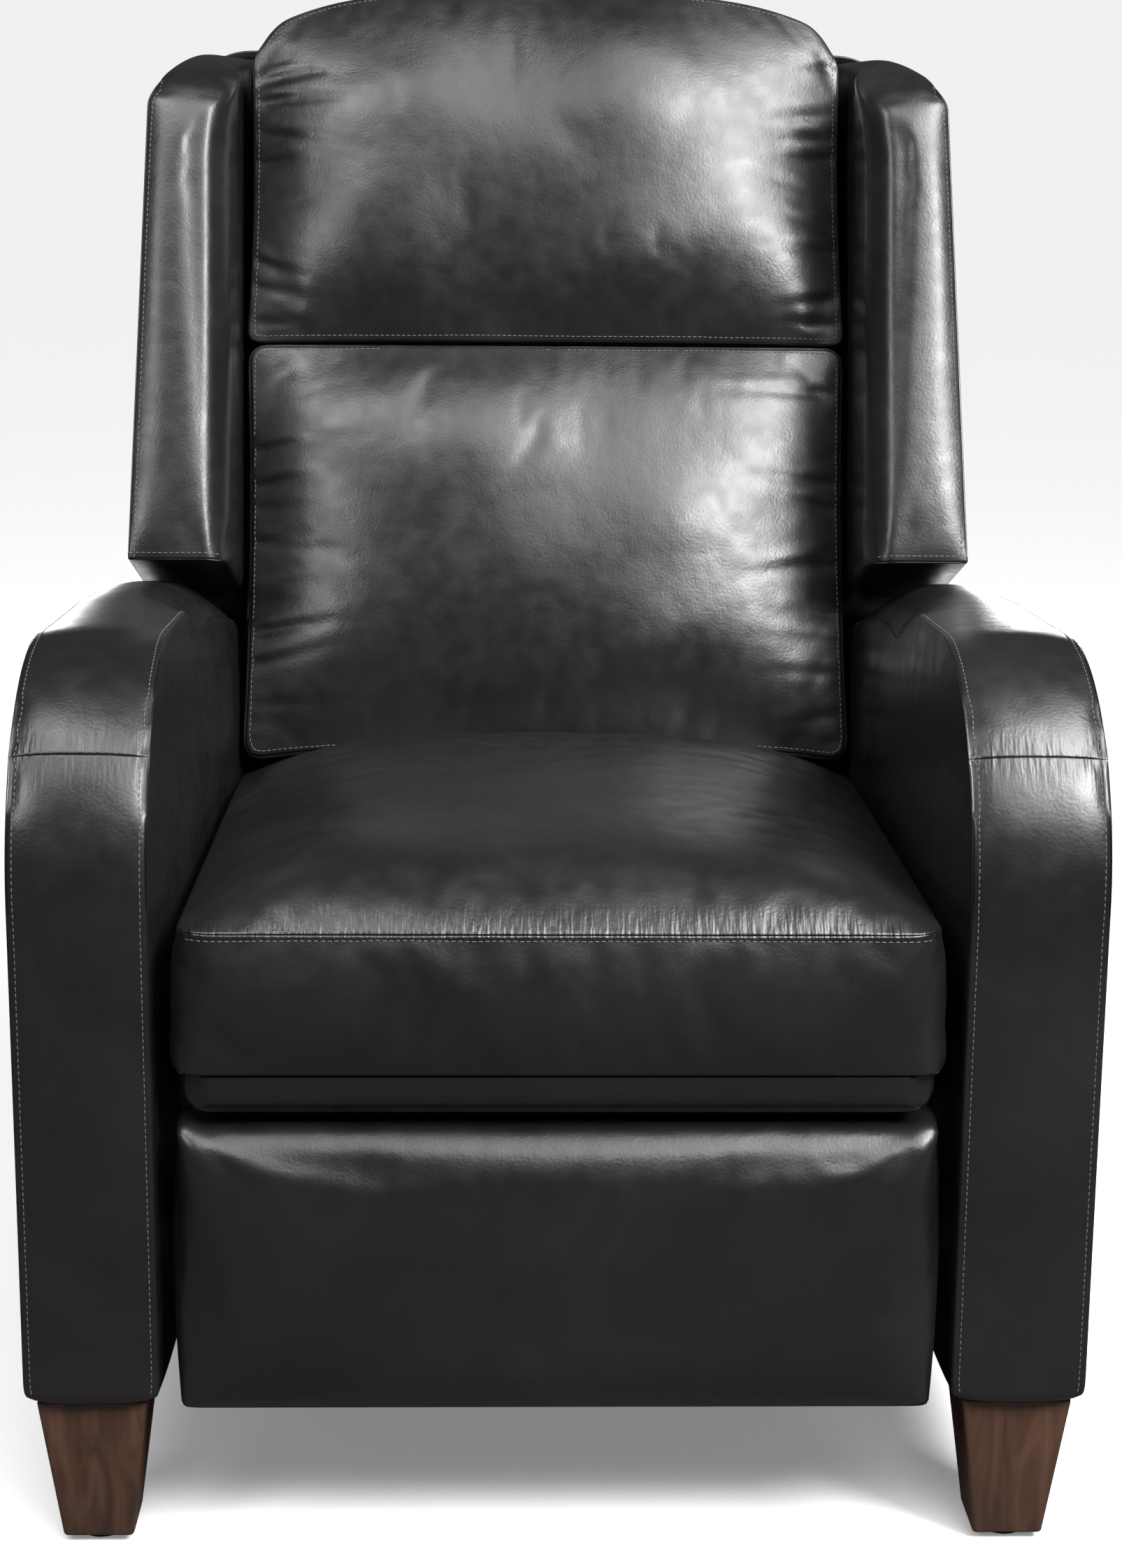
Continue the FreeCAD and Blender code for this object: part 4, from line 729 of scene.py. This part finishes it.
add_stitches("left_arm_stitching", left_arm, left_rows, "base")


# Rear cover of the base: a flat leather panel stapled over the rear rail between the arms.
# It closes the chair's back below the outside back.
COVER_CUTS = (40, 3, 20)
COVER_CROWN = 0.003
COVER_CORNER = 0.006
FLAT_SEAM_WIDTH = 0.0015
FLAT_SEAM_DEPTH = 0.0008


def plain_panel(name, node, cuts, crown, corner):
    """A thin padded panel in a CAD node's box, crowned to the rear, its corners rounded."""
    piece = block(name, cuts)
    unit = points_of(piece)
    low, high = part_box(node)
    half = (np.array(high) - np.array(low)) / 2
    middle = (np.array(high) + np.array(low)) / 2
    spots = middle + unit * half
    for way_x in (-1, 1):
        for way_z in (-1, 1):
            end_x = middle[0] + way_x * half[0]
            end_z = middle[2] + way_z * half[2]
            spots[:, 0], spots[:, 2] = round_corner(
                spots[:, 0], spots[:, 2], end_x, end_z, corner, way_x, way_z
            )
    swell = (1 - unit[:, 0] ** 4) * (1 - unit[:, 2] ** 4)
    spots[:, 1] += crown * swell * (unit[:, 1] > 0)
    put_points(piece, spots)
    return piece, unit


rear_cover, rear_unit = plain_panel(
    "rear_cover", "base_rear_cover", COVER_CUTS, COVER_CROWN, COVER_CORNER
)
rear_seams = cube_edges(rear_unit, {1: 1, 2: 1}, {1: 1, 2: -1}, {0: -1, 1: 1}, {0: 1, 1: 1})
sew(rear_cover, rear_seams, FLAT_SEAM_WIDTH, FLAT_SEAM_DEPTH)
cover_up(rear_cover, "base", 0.4, "base_rear_cover")


# Seat cushion: a thick foam block in a leather case, crowned on top. The top panel is sewn to the
# front boxing in a stitched seam, and the boxing ends in a welt above the front band.
SEAT_SEAM_HALF = 0.2600
SEAT_FOOT_HALF = 0.2665
SEAT_FRONT = -0.4365
SEAT_REAR = 0.1205
SEAT_NOSE_REAR = -0.4090
SEAT_NOSE_FOOT = 0.3625
SEAT_FOOT = 0.3840
SEAT_SEAM = 0.4620
SEAT_CROWN = 0.044
SEAT_BULGE = 0.009
SEAT_NOSE = 0.10
SEAT_FRONT_CORNER = 0.022
SEAT_REAR_CORNER = 0.016
SEAT_ROLL = 0.44
SEAT_ROLL_REACH = 0.011
SEAT_DOME = 0.56
SEAT_REAR_DROP = 0.008
SEAT_CUTS = (58, 58, 12)

seat = block("seat_cover", SEAT_CUTS)
seat_unit = points_of(seat)
u, v, w = seat_unit.T
share = (w + 1) / 2
half = SEAT_FOOT_HALF + (SEAT_SEAM_HALF - SEAT_FOOT_HALF) * share
x = u * half
y = np.where(
    v < -1 + SEAT_NOSE,
    SEAT_FRONT + (v + 1) / SEAT_NOSE * (SEAT_NOSE_REAR - SEAT_FRONT),
    SEAT_NOSE_REAR + (v + 1 - SEAT_NOSE) / (2 - SEAT_NOSE) * (SEAT_REAR - SEAT_NOSE_REAR),
)
foot = np.where(v < -1 + SEAT_NOSE * 0.8, SEAT_NOSE_FOOT, SEAT_FOOT)
z = foot + share * (SEAT_SEAM - foot)
for way in (-1, 1):
    x, y = round_corner(x, y, way * half, SEAT_FRONT, SEAT_FRONT_CORNER, way, -1)
    x, y = round_corner(x, y, way * half, SEAT_REAR, SEAT_REAR_CORNER, way, 1)
roll = SEAT_ROLL * (1 - u**6) * (1 - np.exp((SEAT_FRONT - y) / SEAT_ROLL_REACH))
crown = SEAT_DOME * (1 - np.abs(u) ** 2.6) * (1 - np.clip(-v, 0, 1) ** 4)
rise = (roll + crown) * (1 - np.clip(v, 0, 1) ** 5)
drop = SEAT_REAR_DROP * np.clip(v, 0, 1) ** 5
z += (SEAT_CROWN * rise - drop) * (w > 0.999)
y -= SEAT_BULGE * (1 - w**2) * (1 - u**6) * (v < -0.999)
put_points(seat, np.stack([x, y, z], axis=1))
seat_seams = cube_edges(seat_unit, {1: -1, 2: 1}, {1: -1, 2: -1}, {0: -1, 2: 1}, {0: 1, 2: 1})
seat_held = w < -0.999
for seat_seam in seat_seams:
    seat_held[seat_seam] = True
puff(seat, seat_held, pressure=4.0, cap=0.010, slack=0.01)
seat_lines = sew(seat, seat_seams)
gather(seat, seat_lines[0], reach=0.028, strength=0.38, towards=(0, 0, 1))
cover_up(seat, "seat", 0.8, "seat_cushion")
add_stitches("seat_stitching", seat, [(seat_lines[0], (0, 0, -1))], "seat")


# Front band: a strip of padded leather on the seat's front rail, set back under the boxing.
BAND_CUTS = (58, 4, 6)
BAND_HEIGHTS = (-1, -0.5, 0, 1)
BAND_FULLNESS = (-0.004, 0.003, 0.006, 0.008)
BAND_CORNER = 0.018
BAND_END = 0.012

band = block("front_band_cover", BAND_CUTS)
band_unit = points_of(band)
band_low, band_high = (np.array(corner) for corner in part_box("seat_front_band"))
spots = (band_low + band_high) / 2 + band_unit * (band_high - band_low) / 2
fullness = np.interp(band_unit[:, 2], BAND_HEIGHTS, BAND_FULLNESS)
spots[:, 1] -= fullness * (band_unit[:, 1] < -0.999)
for way in (-1, 1):
    end = band_high[0] if way > 0 else band_low[0]
    for axis, corner in ((2, BAND_CORNER), (1, BAND_END)):
        spots[:, 0], spots[:, axis] = round_corner(
            spots[:, 0], spots[:, axis], end, band_low[axis], corner, way, -1
        )
put_points(band, spots)
band_seams = cube_edges(band_unit, {1: -1, 2: 1}, {1: -1, 2: -1})
sew(band, band_seams, FLAT_SEAM_WIDTH, FLAT_SEAM_DEPTH)
cover_up(band, "seat", 0.5, "seat_front_band")


# Footrest: a foam pad on a board, leather pulled over both and stapled behind, so that its top
# and bottom edges are round and the leather is gathered at the corners.
FOOTREST_FRONT = -0.4325
FOOTREST_REAR = -0.3890
FOOTREST_FOOT = 0.1135
FOOTREST_TOP = 0.3265
FOOTREST_HALF_TOP = 0.2660
FOOTREST_HALF_FOOT = 0.2635
FOOTREST_TOP_ROUND = 0.0225
FOOTREST_FOOT_ROUND = 0.012
FOOTREST_SIDE_ROUND = 0.014
FOOTREST_CORNER = 0.009
FOOTREST_CROWN = 0.006
FOOTREST_CUTS = (62, 6, 26)

footrest = block("footrest_cover", FOOTREST_CUTS)
foot_unit = points_of(footrest)
u, v, w = foot_unit.T
share = (w + 1) / 2
half = FOOTREST_HALF_FOOT + (FOOTREST_HALF_TOP - FOOTREST_HALF_FOOT) * np.clip(share * 4, 0, 1)
x = u * half
y = FOOTREST_FRONT + (v + 1) / 2 * (FOOTREST_REAR - FOOTREST_FRONT)
z = FOOTREST_FOOT + share * (FOOTREST_TOP - FOOTREST_FOOT)
y, z = round_corner(y, z, FOOTREST_FRONT, FOOTREST_TOP, FOOTREST_TOP_ROUND, -1, 1)
y, z = round_corner(y, z, FOOTREST_FRONT, FOOTREST_FOOT, FOOTREST_FOOT_ROUND, -1, -1)
for way in (-1, 1):
    x, y = round_corner(x, y, way * half, FOOTREST_FRONT, FOOTREST_SIDE_ROUND, way, -1)
    x, z = round_corner(x, z, way * half, FOOTREST_TOP, FOOTREST_CORNER, way, 1)
y -= FOOTREST_CROWN * (1 - u**6) * (1 - w**4) * (v < -0.999)
put_points(footrest, np.stack([x, y, z], axis=1))
puff(footrest, (v > 0.9) | (w < -0.96), pressure=2.0, cap=0.005)
sew(footrest, cube_edges(foot_unit, {1: 1, 2: 1}), FLAT_SEAM_WIDTH, 0.0005)
cover_up(footrest, "footrest", 0.7, "footrest_pad")


# Lumbar and head cushions: two soft boxed pillows on the back's springs. Each front panel is sewn
# to the boxing all round, and the cover is drawn up into puckers along the sides.
BACK_HINGE = (0.1535, 0.3300)
BACK_RAKE = math.radians(19)
PILLOW_HALF = 0.2590
PILLOW_REAR = -0.0110
PILLOW_SEAM = -0.1285
PILLOW_CROWN = 0.034
PILLOW_WAVES = 0.012
PILLOW_WAIST = 0.016
PILLOW_SWELL = 0.004
PILLOW_FACE_CAP = 0.017
PILLOW_EDGE_CAP = 0.005
PILLOW_CUTS = (69, 12, 51)
PUCKER_PITCH = 0.028
PUCKER_LENGTH = 0.055


def on_back(x, y, z):
    """From the back's own raked axes through its hinge to the chair's."""
    return np.stack([
        x,
        BACK_HINGE[0] + y * math.cos(BACK_RAKE) + z * math.sin(BACK_RAKE),
        BACK_HINGE[1] - y * math.sin(BACK_RAKE) + z * math.cos(BACK_RAKE),
    ], axis=1)


def back_way(x, y, z):
    """A direction in the back's raked axes, in the chair's."""
    turned = on_back(np.array([x]), np.array([y]), np.array([z]))[0]
    return turned - np.array((0, BACK_HINGE[0], BACK_HINGE[1]))


def pucker(piece, line, towards, pitch, length, depth, variety):
    """Draws a cover up into short uneven folds that run from a seam into the panel."""
    spots, _ = even_points(line, 0.001)
    seam = KDTree(len(spots))
    for index, spot in enumerate(spots):
        seam.insert(spot, index)
    seam.balance()
    points = points_of(piece)
    along = np.full(len(points), -1.0)
    away = np.zeros(len(points))
    for index, point in enumerate(points):
        spot, number, gap = seam.find(point)
        if gap < 2 * length and np.dot(point - np.array(spot), towards) > 0:
            along[index] = number * 0.001
            away[index] = gap
    near = along >= 0
    sink = np.zeros(len(points))
    for number in range(int(len(spots) * 0.001 / pitch)):
        luck = [noise.noise((variety, number * 1.7, axis * 3.1)) for axis in range(4)]
        place = (number + 0.5 + 0.6 * luck[0]) * pitch
        strength = depth * (0.55 + 0.9 * luck[1])
        reach = 0.32 * length * (1 + 0.8 * luck[2])
        across = (along - place - 0.5 * luck[3] * away) / (0.17 * pitch)
        fade = away / reach * np.exp(1 - away / reach)
        sink += strength * fade * (np.exp(-across**2) - 0.5 * np.exp(-((across - 2) ** 2) / 1.6))
    normals = np.zeros(len(points) * 3)
    piece.data.vertices.foreach_get("normal", normals)
    points -= normals.reshape(-1, 3) * (sink * near)[:, None]
    put_points(piece, points)


def pillow(name, low, high, arch, sag, top_corner, foot_corner, puckers, unevenness):
    """A boxed cushion between two heights: its top arched, its foot's corners sagging."""
    piece = block(name, PILLOW_CUTS)
    unit = points_of(piece)
    u, v, w = unit.T
    top = high - arch * np.abs(u) ** 4
    waist = 1 - PILLOW_WAIST * (1 - w**2)
    x = u * PILLOW_HALF * waist
    foot = low - sag * np.abs(u) ** 4
    z = foot + (w + 1) / 2 * (top - foot)
    end = PILLOW_HALF * waist
    for way in (-1, 1):
        x, z = round_corner(x, z, way * end, top, top_corner, way, 1)
        x, z = round_corner(x, z, way * end, foot, foot_corner, way, -1)
    y = PILLOW_SEAM + (v + 1) / 2 * (PILLOW_REAR - PILLOW_SEAM)
    face = v < -0.999
    y = y - PILLOW_CROWN * (1 - np.abs(u) ** 3.2) * (1 - np.abs(w) ** 3.2) * face
    waves = np.array([noise.noise((a * 2.1, b * 1.9, unevenness)) for a, b in zip(u, w)])
    y = y + PILLOW_WAVES * waves * (1 - u**4) * (1 - w**4) * face
    swell = PILLOW_SWELL * (1 - v**2)
    x = x + np.sign(u) * swell * (np.abs(u) > 0.999)
    z = z + np.sign(w) * swell * (np.abs(w) > 0.999)
    put_points(piece, on_back(x, y, z))
    seams = cube_edges(unit, {0: -1, 1: -1}, {0: 1, 1: -1}, {1: -1, 2: 1}, {1: -1, 2: -1})
    held = v > 0.999
    for seam in seams:
        held[seam] = True
    cap = np.where(face, PILLOW_FACE_CAP, PILLOW_EDGE_CAP)[:, None]
    puff(piece, held, pressure=4.0, cap=cap, slack=0.003)
    lines = sew(piece, seams)
    for side_line, way in ((lines[0], 1), (lines[1], -1)):
        pucker(
            piece, side_line, (way, 0, 0), PUCKER_PITCH, PUCKER_LENGTH, puckers, unevenness + way
        )
    return piece, lines


lumbar, lumbar_lines = pillow(
    "lumbar_cover", low=0.120, high=0.473, arch=0.0, sag=0.012, top_corner=0.016,
    foot_corner=0.020, puckers=0.0016, unevenness=3.7,
)
cover_up(lumbar, "back", 0.7, "lumbar_cushion")
head, head_lines = pillow(
    "head_cover", low=0.477, high=0.793, arch=0.044, sag=0.003, top_corner=0.028,
    foot_corner=0.010, puckers=0.0023, unevenness=8.2,
)
cover_up(head, "back", 0.7, "head_cushion")
for pillow_name, pillow_piece, lines in (
    ("lumbar_stitching", lumbar, lumbar_lines), ("head_stitching", head, head_lines)
):
    rows = [
        (lines[0], (1, 0, 0)), (lines[1], (-1, 0, 0)),
        (lines[2], back_way(0, 0, -1)), (lines[3], back_way(0, 0, 1)),
    ]
    add_stitches(pillow_name, pillow_piece, rows, "back")


# Wings: padded boards beside the cushions, on rails from the back frame. The leather wraps softly
# from the front to the inner side; the outer panel is sewn on along the front, top and foot.
WING_INNER = 0.263
WING_STILE = 0.241
WING_OUTER = 0.3435
WING_INNER_DRAW = 0.007
WING_OUTER_DRAW = 0.010
WING_FRONT = -0.246
WING_REAR = 0.0340
WING_LOW = 0.259
WING_HIGH_FRONT = 0.668
WING_HIGH_REAR = 0.791
WING_BULGE = 0.0045
WING_TOP_BEND = 1.15
WING_TUCK = 0.010
WING_TOP_ROUND = 0.024
WING_EDGE_ROUND = 0.020
WING_NOSE_ROUND = 0.030
WING_NOSE_TAPER = 0.008
WING_STILE_FRONT = -0.016
WING_CUTS = (16, 40, 60)

right_wing = block("right_wing_cover", WING_CUTS)
wing_unit = points_of(right_wing)
u, v, w = wing_unit.T
share_y = (v + 1) / 2
share_z = (w + 1) / 2
climb = 1 - (1 - share_y) ** WING_TOP_BEND
high = WING_HIGH_FRONT + climb * (WING_HIGH_REAR - WING_HIGH_FRONT)
y = WING_FRONT + share_y * (WING_REAR - WING_FRONT)
z = WING_LOW + share_z * (high - WING_LOW)
inner = WING_INNER + WING_INNER_DRAW * share_z
tucked = np.clip((share_z - 0.8) / 0.2, 0, 1) ** 2 * np.clip((-0.15 - y) / 0.06, 0, 1)
inner -= WING_TUCK * tucked
outer = WING_OUTER - WING_OUTER_DRAW * share_z
x = inner + (u + 1) / 2 * (outer - inner)
x, z = round_corner(x, z, outer, high, WING_TOP_ROUND, 1, 1)
x, y = round_corner(x, y, inner, WING_FRONT, WING_EDGE_ROUND, -1, -1)
y, z = round_corner(y, z, WING_FRONT, high, WING_NOSE_ROUND - WING_NOSE_TAPER * u, -1, 1)
x = np.where((u < -0.999) & (y > WING_STILE_FRONT), np.minimum(x, WING_STILE), x)
arched = WING_BULGE * (1 - np.abs(u) ** 4)
y -= arched * (1 - np.clip(-w, 0, 1) ** 12) * (v < -0.999)
z += arched * (1 - np.clip(v, 0, 1) ** 6) * (w > 0.999)
put_points(right_wing, on_back(x, y, z))
wing_seams = cube_edges(wing_unit, {0: 1, 1: -1}, {0: 1, 2: 1}, {1: -1, 2: -1}, {0: 1, 2: -1})
wing_held = v > 0.999
for wing_seam in wing_seams:
    wing_held[wing_seam] = True
puff(right_wing, wing_held, pressure=1.0, cap=0.002)
wing_lines = sew(right_wing, wing_seams)
left_wing = mirrored(right_wing, "left_wing_cover")
cover_up(right_wing, "back", 0.8, "right_wing_upholstery")
cover_up(left_wing, "back", 0.8, "left_wing_upholstery")
wing_rows = [
    (wing_lines[0], (-1, 0, 0)), (wing_lines[1], (-1, 0, 0)),
    (wing_lines[2], tuple(back_way(0, 0, 1))),
]
add_stitches("right_wing_stitching", right_wing, wing_rows, "back")
left_rows = [(line * MIRROR, tuple(np.array(way) * MIRROR)) for line, way in wing_rows]
add_stitches("left_wing_stitching", left_wing, left_rows, "back")


# Outside back: a leather panel over the back frame, wide behind the wings and narrow below, where
# it goes down between the arms. It is drawn over the top rail, kept tight and stapled underneath.
PANEL_FACE = 0.0456
PANEL_BACK = 0.0353
PANEL_WRAP = -0.0105
PANEL_HALF = 0.331
PANEL_LOW_HALF = 0.2650
PANEL_FOOT = -0.0235
PANEL_STEP = 0.238
PANEL_TOP = 0.789
PANEL_CORNER = 0.060
PANEL_STEP_RUN = 0.012
PANEL_EDGE = 0.004
PANEL_CROWN = 0.005
PANEL_SEAM_WIDTH = 0.0016
PANEL_SEAM_DEPTH = 0.0010
PANEL_CUTS = (60, 2, 60)

panel = block("outside_back_cover", PANEL_CUTS)
panel_unit = points_of(panel)
u, v, w = panel_unit.T
share = (w + 1) / 2
z = PANEL_FOOT + share * (PANEL_TOP - PANEL_FOOT)
bend = np.clip((z - PANEL_STEP + PANEL_STEP_RUN) / PANEL_STEP_RUN, 0, 1)
half = PANEL_LOW_HALF + (PANEL_HALF - PANEL_LOW_HALF) * bend
x = u * half
for way in (-1, 1):
    x, z = round_corner(x, z, way * half, PANEL_TOP, PANEL_CORNER, way, 1)
start = np.where(w > 0.999, PANEL_WRAP, PANEL_BACK)
y = start + (v + 1) / 2 * (PANEL_FACE - PANEL_EDGE - start)
y += PANEL_CROWN * (1 - u**4) * (1 - np.abs(w) ** 4) * (v > 0.999)
put_points(panel, on_back(x, y, z))
panel_seams = cube_edges(panel_unit, {1: 1, 2: 1}, {0: -1, 1: 1}, {0: 1, 1: 1}, {1: 1, 2: -1})
sew(panel, panel_seams, PANEL_SEAM_WIDTH, PANEL_SEAM_DEPTH)
cover_up(panel, "back", 0.4, "outside_back_panel")
